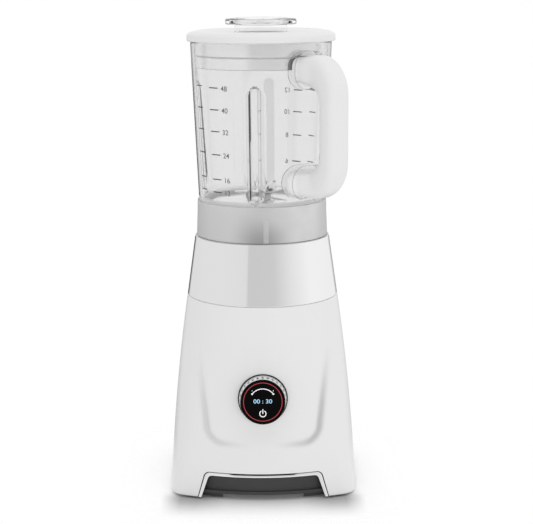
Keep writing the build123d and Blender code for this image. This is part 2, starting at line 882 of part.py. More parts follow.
# Long bolts through both brackets and the stator into the cover's posts
with BuildPart() as motor_bolts:
    with BuildSketch(Plane.XY.offset(mount_bottom - bolt_grip)):
        with GridLocations(bolt_pitch, bolt_pitch, 2, 2):
            Circle(bolt_radius)
    extrude(amount=upper_bracket_top - mount_bottom + bolt_grip)
    with BuildSketch(Plane.XY.offset(upper_bracket_top)):
        with GridLocations(bolt_pitch, bolt_pitch, 2, 2):
            Circle(bolt_head_radius)
    extrude(amount=bolt_head_height)

motor_bolts.part.label = "motor_bolts"
export_step(motor_bolts.part, "parts/motor_bolts.step")

# Brush holders on the lower bracket, one on each side of the commutator
brush_middle = commutator_bottom + commutator_height / 2
holder_bottom = brush_middle - brush_height / 2 - brush_holder_wall
holder_width = brush_width + 2 * brush_holder_wall
brush_holder_start = commutator_radius + brush_holder_gap
brush_holder_end = brush_holder_start + brush_holder_length

with BuildPart() as brush_holders:
    for side in (1, -1):
        with BuildSketch(Plane.XY.offset(holder_bottom)):
            with Locations((side * (brush_holder_start + brush_holder_end) / 2, 0)):
                Rectangle(brush_holder_length, holder_width)
        extrude(amount=brush_height + 2 * brush_holder_wall)
        with BuildSketch(Plane.XY.offset(lower_bracket_top)):
            with Locations((side * (brush_holder_end - brush_holder_foot / 2), 0)):
                Rectangle(brush_holder_foot, holder_width)
        extrude(amount=holder_bottom - lower_bracket_top)
    with BuildSketch(Plane.YZ):
        with Locations((0, brush_middle)):
            Rectangle(brush_width, brush_height)
    extrude(amount=brush_holder_end, both=True, mode=Mode.SUBTRACT)

brush_holders.part.label = "brush_holders"
export_step(brush_holders.part, "parts/brush_holders.step")

# Carbon brushes that slide in the holders
with BuildPart() as carbon_brushes:
    for side in (1, -1):
        with BuildSketch(Plane.YZ.offset(side * (commutator_radius + brush_gap))):
            with Locations((0, brush_middle)):
                Rectangle(brush_width, brush_height)
        extrude(amount=side * brush_length)

carbon_brushes.part.label = "carbon_brushes"
export_step(carbon_brushes.part, "parts/carbon_brushes.step")

# Fan shroud: a short duct standing on the cover round the fan
with BuildPart() as fan_shroud:
    with BuildSketch(Plane.XY.offset(cover_top)):
        Circle(fan_radius + shroud_gap + shroud_thickness)
        Circle(fan_radius + shroud_gap, mode=Mode.SUBTRACT)
    extrude(amount=fan_bottom + fan_height - cover_top)

fan_shroud.part.label = "fan_shroud"
export_step(fan_shroud.part, "parts/fan_shroud.step")

# Power board standing on the cover behind the motor, with its filter capacitor
power_board_y = bracket_width / 2 + power_board_gap
with BuildPart() as power_board:
    with BuildSketch(Plane.XY.offset(cover_top)):
        with Locations((0, power_board_y)):
            Rectangle(power_board_width, board_thickness)
    extrude(amount=power_board_height)
    with BuildSketch(Plane.XY.offset(cover_top + power_board_height / 2)):
        with Locations((0, power_board_y - board_thickness / 2)):
            Rectangle(capacitor_length, capacitor_depth, align=(Align.CENTER, Align.MAX))
    extrude(amount=capacitor_height)

power_board.part.label = "power_board"
export_step(power_board.part, "parts/power_board.step")

# Rotor: shaft, core, windings, commutator, fan and the drive coupling
core_radius = stator_bore_radius - air_gap
winding_outer_radius = core_radius - winding_set_in
fan_hub_radius = shaft_radius + fan_hub_wall
coupling_core_radius = shaft_radius + coupling_core_wall
coupling_tooth_radius = coupling_core_radius + coupling_tooth_height
shaft_top = coupling_top - shaft_end_cover

with BuildPart() as motor_shaft:
    with BuildSketch(Plane.XY.offset(shaft_bottom)):
        Circle(shaft_radius)
    extrude(amount=shaft_top - shaft_bottom)

motor_shaft.part.label = "motor_shaft"
export_step(motor_shaft.part, "parts/motor_shaft.step")

with BuildPart() as armature_core:
    with BuildSketch(Plane.XY.offset(stator_bottom)):
        Circle(core_radius)
        Circle(shaft_radius, mode=Mode.SUBTRACT)
        with PolarLocations(core_radius, core_slot_count):
            Rectangle(2 * core_slot_depth, core_slot_width, mode=Mode.SUBTRACT)
    extrude(amount=stator_height)

armature_core.part.label = "armature_core"
export_step(armature_core.part, "parts/armature_core.step")

with BuildPart() as armature_windings:
    for level in (stator_bottom - winding_overhang, stator_top):
        with BuildSketch(Plane.XY.offset(level)):
            Circle(winding_outer_radius)
            Circle(shaft_radius + winding_fit, mode=Mode.SUBTRACT)
        extrude(amount=winding_overhang)
    with BuildSketch(Plane.XY.offset(stator_bottom)):
        with PolarLocations(core_radius - core_slot_depth / 2, core_slot_count):
            Rectangle(core_slot_depth - 4 * winding_fit, core_slot_width - 2 * winding_fit)
    extrude(amount=stator_height)

armature_windings.part.label = "armature_windings"
export_step(armature_windings.part, "parts/armature_windings.step")

with BuildPart() as commutator:
    with BuildSketch(Plane.XY.offset(commutator_bottom)):
        Circle(commutator_radius)
        Circle(shaft_radius, mode=Mode.SUBTRACT)
        with PolarLocations(commutator_radius, commutator_bar_count):
            Rectangle(2 * commutator_gap_depth, commutator_gap, mode=Mode.SUBTRACT)
    extrude(amount=commutator_height)

commutator.part.label = "commutator"
export_step(commutator.part, "parts/commutator.step")

fan_blade_length = fan_radius - fan_hub_radius
with BuildPart() as cooling_fan:
    with BuildSketch(Plane.XY.offset(fan_bottom)):
        Circle(fan_hub_radius)
        with PolarLocations(fan_hub_radius + fan_blade_length / 2, fan_blade_count):
            Rectangle(fan_blade_length + fan_blade_thickness, fan_blade_thickness)
        Circle(shaft_radius, mode=Mode.SUBTRACT)
    extrude(amount=fan_height)
    with BuildSketch(Plane.XY.offset(fan_bottom + fan_height - fan_plate_thickness)):
        Circle(fan_radius)
        Circle(shaft_radius, mode=Mode.SUBTRACT)
    extrude(amount=fan_plate_thickness)

cooling_fan.part.label = "cooling_fan"
export_step(cooling_fan.part, "parts/cooling_fan.step")


def coupling_star(height, clearance):
    """Level face of the toothed drive, grown by a clearance for its socket."""
    with BuildSketch(Plane.XY.offset(height)) as star:
        Circle(coupling_core_radius + clearance)
        with PolarLocations(0, coupling_tooth_count):
            Rectangle(
                coupling_tooth_radius + clearance,
                coupling_tooth_width + 2 * clearance,
                align=(Align.MIN, Align.CENTER),
            )
    return star.sketch.face()


with BuildPart() as drive_coupling:
    extrude(coupling_star(coupling_bottom, 0), amount=coupling_height)
    with BuildSketch(Plane.XY.offset(coupling_bottom - coupling_hub_drop)):
        Circle(coupling_hub_radius)
    extrude(amount=coupling_hub_drop)
    with BuildSketch(Plane.XY.offset(coupling_bottom - coupling_hub_drop)):
        Circle(shaft_radius)
    extrude(amount=shaft_top - coupling_bottom + coupling_hub_drop, mode=Mode.SUBTRACT)

drive_coupling.part.label = "drive_coupling"
export_step(drive_coupling.part, "parts/drive_coupling.step")

# Dial carrier: flange behind the housing wall and the barrel that the ring turns on
ring_base_radius = dial_hole_radius - ring_set_in
ring_front_radius = ring_base_radius - ring_taper
window_radius = ring_front_radius - ring_edge - window_clearance
window_top = ring_reach - window_set_back
window_bottom = window_top - window_thickness
light_ring_outer = window_radius - light_ring_inset
light_bottom = window_bottom - light_ring_thickness
ring_base = bezel_proud + ring_clearance
ring_floor = light_bottom - press_travel - ring_clearance
carrier_back = carrier_flange_front + carrier_flange_thickness
carrier_barrel_radius = window_radius - ring_step
carrier_barrel_reach = ring_floor - carrier_barrel_gap
carrier_bore = carrier_barrel_radius - carrier_barrel_wall

with BuildPart() as dial_carrier:
    with BuildSketch(dial_plane.offset(-carrier_back)):
        Circle(carrier_flange_radius)
    extrude(amount=carrier_flange_thickness)
    with BuildSketch(dial_plane.offset(-carrier_back)):
        Circle(carrier_barrel_radius)
    extrude(amount=carrier_back + carrier_barrel_reach)
    with BuildSketch(dial_plane.offset(-carrier_back)):
        Circle(carrier_bore)
    extrude(amount=carrier_back + carrier_barrel_reach, mode=Mode.SUBTRACT)

dial_carrier.part.label = "dial_carrier"
export_step(dial_carrier.part, "parts/dial_carrier.step")

# Dial bezel: fills the hole in the bowed wall and gives the ring a flat seat
with BuildPart() as dial_bezel:
    with BuildSketch(dial_plane.offset(-carrier_flange_front)):
        Circle(dial_hole_radius)
        Circle(carrier_barrel_radius, mode=Mode.SUBTRACT)
    extrude(amount=carrier_flange_front + bezel_proud)

dial_bezel.part.label = "dial_bezel"
export_step(dial_bezel.part, "parts/dial_bezel.step")

# Dial ring: tapered grip that turns on the barrel, stepped inside for the window
with BuildPart() as dial_ring:
    with BuildSketch(dial_plane.offset(ring_base)):
        Circle(ring_base_radius)
    with BuildSketch(dial_plane.offset(ring_reach)):
        Circle(ring_front_radius)
    loft()
    with BuildSketch(dial_plane.offset(ring_base)):
        Circle(carrier_barrel_radius + running_clearance)
    extrude(amount=ring_reach - ring_base, mode=Mode.SUBTRACT)
    with BuildSketch(dial_plane.offset(ring_floor)):
        Circle(window_radius + window_clearance)
    extrude(amount=ring_reach - ring_floor, mode=Mode.SUBTRACT)

dial_ring.part.label = "dial_ring"
export_step(dial_ring.part, "parts/dial_ring.step")

# Display window, its red light ring behind it, and the fixed display module
with BuildPart() as display_window:
    with BuildSketch(dial_plane.offset(window_bottom)):
        Circle(window_radius)
    extrude(amount=window_thickness)

display_window.part.label = "display_window"
export_step(display_window.part, "parts/display_window.step")

with BuildPart() as light_ring:
    with BuildSketch(dial_plane.offset(light_bottom)):
        Circle(light_ring_outer)
        Circle(light_ring_outer - light_ring_width, mode=Mode.SUBTRACT)
    extrude(amount=light_ring_thickness)

light_ring.part.label = "light_ring"
export_step(light_ring.part, "parts/light_ring.step")

with BuildPart() as display_module:
    with BuildSketch(dial_plane.offset(carrier_barrel_reach - display_set_back)):
        Circle(carrier_bore)
    extrude(amount=-display_thickness)

display_module.part.label = "display_module"
export_step(display_module.part, "parts/display_module.step")

# Control board screwed to the back of the dial carrier
with BuildPart() as control_board:
    with BuildSketch(dial_plane.offset(-carrier_back)):
        Rectangle(control_board_width, control_board_height)
    extrude(amount=-board_thickness)

control_board.part.label = "control_board"
export_step(control_board.part, "parts/control_board.step")


# Jar

def facing(turn, reach, height, lean):
    """Upright plane at a distance from the axis, turned from the front towards +X and leaning out."""
    turn_sine = math.sin(math.radians(turn))
    turn_cosine = math.cos(math.radians(turn))
    lean_sine = math.sin(lean)
    lean_cosine = math.cos(lean)
    return Plane(
        origin=(reach * turn_sine, -reach * turn_cosine, height),
        x_dir=(turn_cosine, turn_sine, 0),
        z_dir=(lean_cosine * turn_sine, -lean_cosine * turn_cosine, -lean_sine),
    )


def jar_radius(height):
    """Outside radius of the jar, which widens straight from the shoulder to the rim."""
    return jar_shoulder_radius + jar_flare / jar_height * (height - jar_shoulder)


jar_lean = math.atan2(jar_flare, jar_height)
flute_middle = (flute_top + flute_bottom) / 2
flute_height = flute_top - flute_bottom
flute_turns = [flute_turn + 360 / flute_count * flute for flute in range(flute_count)]
handle_root = jar_top_radius + handle_root_gap
handle_inner_reach = handle_root + handle_hand_gap
handle_outer_reach = handle_inner_reach + handle_grip_depth
socket_reach = handle_root + socket_depth
arm_middles = (
    (handle_top - handle_upper_arm / 2, handle_upper_arm),
    (handle_bottom + handle_lower_arm / 2, handle_lower_arm),
)

# The jar: clear tapered wall, threadless neck for the collar, pressed flutes and handle sockets
with BuildPart() as jar:
    with BuildSketch(Plane.XZ):
        with BuildLine():
            Polyline(
                (0, jar_neck_bottom),
                (jar_neck_radius, jar_neck_bottom),
                (jar_neck_radius, jar_shoulder),
                (jar_shoulder_radius, jar_shoulder),
                (jar_top_radius, jar_top),
                (0, jar_top),
                close=True,
            )
        make_face()
    revolve(axis=Axis.Z)
    for arm_middle, arm_height in arm_middles:
        with BuildSketch(facing(handle_turn, jar_neck_radius, arm_middle, 0)):
            RectangleRounded(
                handle_width + 2 * socket_wall, arm_height + 2 * socket_wall, socket_corner_radius
            )
        extrude(amount=socket_reach - jar_neck_radius)
    with BuildSketch(Plane.XZ):
        with BuildLine():
            Polyline(
                (0, jar_neck_bottom),
                (jar_neck_bore, jar_neck_bottom),
                (jar_neck_bore, jar_shoulder),
                (jar_radius(jar_shoulder + floor_bend_height) - jar_wall, jar_shoulder + floor_bend_height),
                (jar_radius(jar_top) - jar_wall, jar_top),
                (0, jar_top),
                close=True,
            )
        make_face()
    revolve(axis=Axis.Z, mode=Mode.SUBTRACT)
    for turn in flute_turns:
        flute_plane = facing(turn, jar_radius(flute_middle), flute_middle, jar_lean)
        with BuildSketch(flute_plane.offset(-flute_depth - jar_wall)):
            SlotOverall(flute_height + 2 * jar_wall, flute_width + 2 * jar_wall, rotation=90)
        extrude(amount=flute_depth + jar_wall / 2)
        with BuildSketch(flute_plane.offset(-flute_depth)):
            SlotOverall(flute_height, flute_width, rotation=90)
        extrude(amount=2 * flute_depth, mode=Mode.SUBTRACT)
    for arm_middle, arm_height in arm_middles:
        with BuildSketch(facing(handle_turn, handle_root - socket_clearance, arm_middle, 0)):
            RectangleRounded(
                handle_width + 2 * socket_clearance,
                arm_height + 2 * socket_clearance,
                handle_edge_radius + socket_clearance,
            )
        extrude(amount=socket_reach - handle_root + 2 * socket_clearance, mode=Mode.SUBTRACT)

jar.part.label = "jar"
export_step(jar.part, "parts/jar.step")

# Handle: a rounded moulding whose two arms fill the jar's sockets
handle_sine = math.sin(math.radians(handle_turn))
handle_cosine = math.cos(math.radians(handle_turn))
handle_plane = Plane(
    origin=(0, 0, 0),
    x_dir=(handle_sine, -handle_cosine, 0),
    z_dir=(-handle_cosine, -handle_sine, 0),
)

with BuildPart() as handle:
    with BuildSketch(handle_plane) as handle_side:
        with BuildLine():
            Polyline(
                (handle_root, handle_top),
                (handle_outer_reach, handle_top),
                (handle_outer_reach, handle_bottom),
                (handle_root, handle_bottom),
                (handle_root, handle_bottom + handle_lower_arm),
                (handle_inner_reach, handle_bottom + handle_lower_arm),
                (handle_inner_reach, handle_top - handle_upper_arm),
                (handle_root, handle_top - handle_upper_arm),
                close=True,
            )
        make_face()
        fillet(handle_side.vertices().group_by(Axis.X)[-1], handle_outer_corner)
        inner_corners = [
            corner for corner in handle_side.vertices() if abs(corner.X - handle_inner_reach) < socket_wall
        ]
        fillet(inner_corners, handle_inner_corner)
    extrude(amount=handle_width / 2, both=True)
    flanks = handle.faces().filter_by(handle_plane)
    long_edges = [
        edge
        for edge in flanks.edges()
        if handle_plane.to_local_coords(edge.center()).X > handle_root + socket_clearance
    ]
    fillet(long_edges, handle_edge_radius)

handle.part.label = "handle"
export_step(handle.part, "parts/handle.step")

# Collar: translucent skirt that clamps the blade unit to the jar's neck and stands in the seat
collar_bottom = seat_deck_top + pad_thickness + jar_rest_gap
gasket_bottom = jar_neck_bottom - gasket_thickness
blade_flange_bottom = gasket_bottom - blade_seat_flange
ledge_bottom = blade_flange_bottom - collar_ledge_thickness

with BuildPart() as jar_collar:
    with BuildSketch(Plane.XZ):
        with BuildLine():
            Polyline(
                (collar_foot_radius - collar_wall, collar_bottom),
                (collar_foot_radius, collar_bottom),
                (collar_foot_radius, collar_step),
                (collar_step_radius, collar_step),
                (collar_top_radius, jar_shoulder - neck_fit),
                (jar_neck_radius + neck_fit, jar_shoulder - neck_fit),
                (jar_neck_radius + neck_fit, blade_flange_bottom),
                (collar_ledge_inner, blade_flange_bottom),
                (collar_ledge_inner, ledge_bottom),
                (collar_foot_radius - collar_wall, ledge_bottom),
                close=True,
            )
        make_face()
    revolve(axis=Axis.Z)
    rib_outer = collar_foot_radius - collar_wall
    with BuildSketch(Plane.XY.offset(collar_bottom + collar_wall)):
        with PolarLocations((collar_ledge_inner + rib_outer) / 2, collar_rib_count, collar_rib_turn):
            Rectangle(rib_outer - collar_ledge_inner, collar_rib_width)
    extrude(amount=ledge_bottom - collar_bottom - collar_wall)

jar_collar.part.label = "jar_collar"
export_step(jar_collar.part, "parts/jar_collar.step")

# Blade gasket between the neck and the blade seat
cup_radius = jar_neck_bore - blade_seat_cup_gap
flange_radius = jar_neck_radius - neck_fit
floor_bend_radius = cup_radius - floor_bend_inset
bushing_radius = shaft_radius + bushing_wall
hub_radius = bushing_radius + hub_wall
socket_roof = coupling_top + coupling_clearance
driven_top = socket_roof + driven_roof
hub_bottom = driven_top + hub_gap

with BuildPart() as blade_gasket:
    with BuildSketch(Plane.XY.offset(gasket_bottom)):
        Circle(flange_radius)
        Circle(cup_radius + neck_fit, mode=Mode.SUBTRACT)
    extrude(amount=gasket_thickness)

blade_gasket.part.label = "blade_gasket"
export_step(blade_gasket.part, "parts/blade_gasket.step")

# Blade seat: the domed jar floor with the hub that carries the blade shaft
with BuildPart() as blade_seat:
    with BuildSketch(Plane.XZ):
        with BuildLine():
            Polyline(
                (bushing_radius, hub_bottom),
                (hub_radius, hub_bottom),
                (hub_radius, floor_top - blade_seat_skin),
                (floor_bend_radius, floor_bend - blade_seat_skin),
                (cup_radius - blade_seat_skin, floor_edge - blade_seat_skin / 2),
                (cup_radius - blade_seat_skin, blade_flange_bottom),
                (flange_radius, blade_flange_bottom),
                (flange_radius, gasket_bottom),
                (cup_radius, gasket_bottom),
                (cup_radius, floor_edge),
                (floor_bend_radius, floor_bend),
                (hub_radius, floor_top),
                (bushing_radius, floor_top),
                close=True,
            )
        make_face()
    revolve(axis=Axis.Z)

blade_seat.part.label = "blade_seat"
export_step(blade_seat.part, "parts/blade_seat.step")


def ring_piece(bottom, height, outer, inner):
    """Plain ring on the jar's axis."""
    with BuildPart() as ring:
        with BuildSketch(Plane.XY.offset(bottom)):
            Circle(outer)
            Circle(inner, mode=Mode.SUBTRACT)
        extrude(amount=height)
    return ring


# Bronze bushings, shaft seal and thrust washer on the blade shaft
running_bore = shaft_radius + running_clearance
upper_bushing = ring_piece(floor_top - bushing_length, bushing_length, bushing_radius, running_bore)
upper_bushing.part.label = "upper_bushing"
export_step(upper_bushing.part, "parts/upper_bushing.step")

lower_bushing = ring_piece(hub_bottom, bushing_length, bushing_radius, running_bore)
lower_bushing.part.label = "lower_bushing"
export_step(lower_bushing.part, "parts/lower_bushing.step")

shaft_seal = ring_piece(floor_top, seal_height, shaft_radius + seal_width, shaft_radius + seal_clearance)
shaft_seal.part.label = "shaft_seal"
export_step(shaft_seal.part, "parts/shaft_seal.step")

washer_bottom = floor_top + seal_height + seal_clearance
thrust_washer = ring_piece(washer_bottom, washer_thickness, shaft_radius + washer_width, shaft_radius)
thrust_washer.part.label = "thrust_washer"
export_step(thrust_washer.part, "parts/thrust_washer.step")


def blade(bottom, rise, turn):
    """Two-winged blade: flat root with a hole, then wings that rise to narrow tips."""
    blade_width = 2 * (shaft_radius + blade_eye_wall)
    wing_plane = Plane.XZ.rotated((0, 0, turn))
    with BuildPart() as wings:
        with BuildSketch(wing_plane):
            with BuildLine():
                Polyline(
                    (-blade_reach, bottom + rise),
                    (-blade_root, bottom),
                    (blade_root, bottom),
                    (blade_reach, bottom + rise),
                    (blade_reach, bottom + rise + blade_thickness),
                    (blade_root, bottom + blade_thickness),
                    (-blade_root, bottom + blade_thickness),
                    (-blade_reach, bottom + rise + blade_thickness),
                    close=True,
                )
            make_face()
        extrude(amount=blade_width / 2, both=True)
        with BuildSketch(Plane.XY.offset(bottom).rotated((0, 0, turn))):
            with BuildLine():
                Polyline(
                    (blade_root, blade_width / 2),
                    (-blade_root, blade_width / 2),
                    (-blade_reach, blade_tip_width / 2),
                    (-blade_reach, -blade_tip_width / 2),
                    (-blade_root, -blade_width / 2),
                    (blade_root, -blade_width / 2),
                    (blade_reach, -blade_tip_width / 2),
                    (blade_reach, blade_tip_width / 2),
                    close=True,
                )
            make_face()
        extrude(amount=rise + blade_thickness, mode=Mode.INTERSECT)
        with BuildSketch(Plane.XY.offset(bottom)):
            Circle(shaft_radius)
        extrude(amount=blade_thickness, mode=Mode.SUBTRACT)
    return wings


# Blades, stacked crosswise on the washer
blade_bottom = washer_bottom + washer_thickness
lower_blade = blade(blade_bottom, lower_blade_rise, lower_blade_turn)
lower_blade.part.label = "lower_blade"
export_step(lower_blade.part, "parts/lower_blade.step")

upper_blade = blade(blade_bottom + blade_thickness, upper_blade_rise, upper_blade_turn)
upper_blade.part.label = "upper_blade"
export_step(upper_blade.part, "parts/upper_blade.step")

# Blade nut: a hexagon nut that clamps both blades
nut_bottom = blade_bottom + 2 * blade_thickness
with BuildPart() as blade_nut:
    with BuildSketch(Plane.XY.offset(nut_bottom)):
        RegularPolygon(shaft_radius + blade_nut_wall, 6, major_radius=False)
        Circle(shaft_radius, mode=Mode.SUBTRACT)
    extrude(amount=blade_nut_height)

blade_nut.part.label = "blade_nut"
export_step(blade_nut.part, "parts/blade_nut.step")

# Blade shaft and the driven half of the coupling
blade_shaft_bottom = socket_roof + shaft_end_proud
driven_bottom = coupling_bottom + driven_lift
driven_radius = coupling_tooth_radius + coupling_clearance + driven_wall

with BuildPart() as blade_shaft:
    with BuildSketch(Plane.XY.offset(blade_shaft_bottom)):
        Circle(shaft_radius)
    extrude(amount=nut_bottom + blade_nut_height + shaft_end_proud - blade_shaft_bottom)

blade_shaft.part.label = "blade_shaft"
export_step(blade_shaft.part, "parts/blade_shaft.step")

with BuildPart() as driven_coupling:
    with BuildSketch(Plane.XY.offset(driven_bottom)):
        Circle(driven_radius)
    extrude(amount=driven_top - driven_bottom)
    star_socket = coupling_star(driven_bottom, coupling_clearance)
    extrude(star_socket, amount=socket_roof - driven_bottom, mode=Mode.SUBTRACT)
    with BuildSketch(Plane.XY.offset(blade_shaft_bottom)):
        Circle(shaft_radius)
    extrude(amount=driven_top - blade_shaft_bottom, mode=Mode.SUBTRACT)

driven_coupling.part.label = "driven_coupling"
export_step(driven_coupling.part, "parts/driven_coupling.step")

# Lid: flanged cover with a plug skirt, a raised neck and a groove for its seal
lid_radius = jar_top_radius + lid_overhang
lid_cone_radius = lid_radius - lid_rim_width
cap_hole_radius = cap_skirt_radius + cap_hole_gap
lid_neck_radius = cap_hole_radius + lid_neck_wall
plug_radius = jar_top_radius - jar_wall - plug_gap
plug_bore = plug_radius - plug_wall
lid_seal_radius = jar_top_radius - jar_wall - lid_seal_gap
lid_seal_top = lid_seal_bottom + lid_seal_height
groove_radius = plug_radius - lid_seal_groove

with BuildPart() as lid:
    with BuildSketch(Plane.XZ) as lid_profile:
        with BuildLine():
            Polyline(
                (plug_bore, plug_bottom),
                (plug_radius, plug_bottom),
                (plug_radius, lid_seal_bottom),
                (groove_radius, lid_seal_bottom),
                (groove_radius, lid_seal_top),
                (plug_radius, lid_seal_top),
                (plug_radius, lid_bottom),
                (lid_radius, lid_bottom),
                (lid_radius, lid_rim_top),
                (lid_cone_radius, lid_rim_top),
                (lid_neck_radius, lid_cone_top),
                (lid_neck_radius, lid_neck_top),
                (cap_hole_radius, lid_neck_top),
                (cap_hole_radius, lid_cone_top - lid_skin),
                (lid_neck_radius, lid_cone_top - lid_skin),
                (plug_bore, lid_rim_top - lid_skin),
                close=True,
            )
        make_face()
        fillet(lid_profile.vertices().group_by(Axis.X)[-1], lid_rim_fillet)
    revolve(axis=Axis.Z)

lid.part.label = "lid"
export_step(lid.part, "parts/lid.step")

lid_seal = ring_piece(lid_seal_bottom, lid_seal_height, lid_seal_radius, groove_radius)
lid_seal.part.label = "lid_seal"
export_step(lid_seal.part, "parts/lid_seal.step")

# Measuring cap: a clear cup with a wide rim and a shallow crown
cap_bore = cap_skirt_radius - cap_wall
cap_rim_radius = cap_skirt_radius + cap_rim_overhang
cap_crown_radius = cap_rim_radius - cap_rim_flat
bore_drop = cap_crown_height * (cap_bore / cap_crown_radius) ** 2

with BuildPart() as measuring_cap:
    with BuildSketch(Plane.XZ) as cap_profile:
        with BuildLine():
            crown = TangentArc((0, cap_crown), (cap_crown_radius, cap_rim_top), tangent=(1, 0))
            Polyline(
                crown @ 1,
                (cap_rim_radius, cap_rim_top),
                (cap_rim_radius, cap_rim_bottom),
                (cap_skirt_radius, cap_rim_bottom),
                (cap_skirt_radius, cap_skirt_bottom),
                (cap_bore, cap_skirt_bottom),
                (cap_bore, cap_crown - cap_wall - bore_drop),
            )
            ceiling = TangentArc(
                (0, cap_crown - cap_wall), (cap_bore, cap_crown - cap_wall - bore_drop), tangent=(1, 0)
            )
            Line(crown @ 0, ceiling @ 0)
        make_face()
        fillet(cap_profile.vertices().group_by(Axis.X)[-1], cap_rim_fillet)
    revolve(axis=Axis.Z)

measuring_cap.part.label = "measuring_cap"
export_step(measuring_cap.part, "parts/measuring_cap.step")
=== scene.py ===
import math

import bmesh
import bpy
import numpy as np
from mathutils import Matrix, Vector


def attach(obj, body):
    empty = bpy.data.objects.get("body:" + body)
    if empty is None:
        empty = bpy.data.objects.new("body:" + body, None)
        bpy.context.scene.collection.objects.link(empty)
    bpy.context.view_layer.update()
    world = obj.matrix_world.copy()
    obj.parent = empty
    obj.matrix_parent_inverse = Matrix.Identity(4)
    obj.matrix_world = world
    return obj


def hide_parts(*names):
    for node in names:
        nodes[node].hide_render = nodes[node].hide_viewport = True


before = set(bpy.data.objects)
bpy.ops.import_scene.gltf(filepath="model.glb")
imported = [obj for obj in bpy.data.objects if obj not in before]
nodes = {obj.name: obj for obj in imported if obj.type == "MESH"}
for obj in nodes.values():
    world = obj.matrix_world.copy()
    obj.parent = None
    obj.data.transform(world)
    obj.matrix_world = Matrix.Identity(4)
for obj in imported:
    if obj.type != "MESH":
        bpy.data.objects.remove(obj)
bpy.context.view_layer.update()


# Base housing: one shell of white ABS, injection moulded, that flares from a round neck to a bowed square
# foot. A shallow panel is pressed into its front round the dial, an arch is cut into the foot, and four
# screws hold the shell to the bottom cover.

rim_height = 2.0
housing_top = 177.0
housing_wall = 3.0
least_wall = 1.0
sharp_edge = math.radians(35)
neck_radius = 70.6
rim_half_width = 87.8
rim_half_depth = 91.5
side_flare_bow = 0.52
front_flare_bow = 0.28
side_bow_radius = 800.0
front_bow_radius = 195.0
rim_corner_radius = 18.0
rim_round = ((2.0, 1.1), (2.3, 0.45), (2.8, 0.1))
shoulder_round = ((176.3, 0.0), (176.75, 0.15), (177.0, 0.6))
panel_top = 150.0
panel_bottom = 50.0
panel_half_width_top = 64.6
panel_half_width_bottom = 53.0
panel_corner = 16.0
panel_depth = 3.0
panel_depth_top = 0.3
panel_fade = 14.0
panel_margin = 8.0
sill_width = 19.0
sill_reach = 42.0
sill_blend = 1.15
crease_width = 3.4
crease_groove = 1.2
crease_from_edge = 2.2
crease_spread = 2.6
crease_top = 144.0
crease_fade = 70.0
# Strength of the painted shade at the right crease and at the left one
crease_shades = (1.0, 0.6)
arch_half_width_rim = 61.0
arch_half_width_top = 53.5
arch_top = 26.0
arch_corner = 6.0
arch_cut = (30, 120)
dial_height = 94.6
dial_face_depth = 80.5463
dial_tilt = math.radians(6)
dial_hole_radius = 22.75
dial_cut = (-14, 14)
gland_height = 20.0
gland_hole_radius = 6.6
gland_cut = (-110, -70)


def colour(code):
    """Linear RGBA of an sRGB hex code."""
    parts = [int(code[i : i + 2], 16) / 255 for i in (1, 3, 5)]
    return [p / 12.92 if p <= 0.04045 else ((p + 0.055) / 1.055) ** 2.4 for p in parts] + [1.0]


def add_node(material, kind, inputs, **settings):
    """Adds one node: settings are its own properties, inputs are values or links by socket."""
    node = material.node_tree.nodes.new("ShaderNode" + kind)
    for name, value in settings.items():
        setattr(node, name, value)
    for socket, value in inputs.items():
        if isinstance(value, bpy.types.NodeSocket):
            material.node_tree.links.new(value, node.inputs[socket])
        else:
            node.inputs[socket].default_value = value
    return node


def surfaced(name, light, dark, grain, relief, **sockets):
    """A material whose tone and relief vary with a grain; grain and relief are in millimetres."""
    material = bpy.data.materials.new(name)
    material.use_nodes = True
    shader = material.node_tree.nodes["Principled BSDF"]
    place = add_node(material, "TexCoord", {}).outputs["Object"]
    speck = add_node(material, "TexNoise", {"Vector": place, "Scale": 1000 / grain, "Detail": 3.0})
    speck = speck.outputs["Fac"]
    tone = add_node(material, "MixRGB", {"Fac": speck, "Color1": colour(dark), "Color2": colour(light)})
    bump = add_node(material, "Bump", {"Height": speck, "Distance": relief / 1000, "Strength": 0.5})
    material.node_tree.links.new(tone.outputs["Color"], shader.inputs["Base Color"])
    material.node_tree.links.new(bump.outputs["Normal"], shader.inputs["Normal"])
    for socket, value in sockets.items():
        shader.inputs[socket.replace("_", " ")].default_value = value
    return material


def tint(material, share, shade):
    """Draws a material towards a shade. The share is a socket, or the name of a piece's marks."""
    paint = material.node_tree.nodes["Principled BSDF"].inputs["Base Color"]
    if isinstance(share, str):
        share = add_node(material, "Attribute", {}, attribute_name=share).outputs["Fac"]
    mixed = {"Fac": share, "Color1": paint.links[0].from_socket, "Color2": colour(shade)}
    mixed = add_node(material, "MixRGB", mixed)
    material.node_tree.links.new(mixed.outputs["Color"], paint)


def mark(piece, name, values):
    """Gives each point of a piece a number, which its material reads by name."""
    piece.data.attributes.new(name, "FLOAT", "POINT").data.foreach_set("value", values)


def mesh_piece(name, points, faces, body, material, stands_for=()):
    """A smooth-shaded closed mesh from points in millimetres, riding on a body."""
    mesh = bpy.data.meshes.new(name)
    mesh.from_pydata([[c / 1000 for c in point] for point in points], [], faces)
    shell = bmesh.new()
    shell.from_mesh(mesh)
    bmesh.ops.remove_doubles(shell, verts=shell.verts, dist=1e-7)
    bmesh.ops.recalc_face_normals(shell, faces=shell.faces)
    shell.to_mesh(mesh)
    shell.free()
    mesh.shade_smooth()
    mesh.set_sharp_from_angle(angle=sharp_edge)
    mesh.materials.append(material)
    piece = bpy.data.objects.new(name, mesh)
    bpy.context.scene.collection.objects.link(piece)
    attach(piece, body)
    if stands_for:
        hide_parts(*stands_for)
    return piece


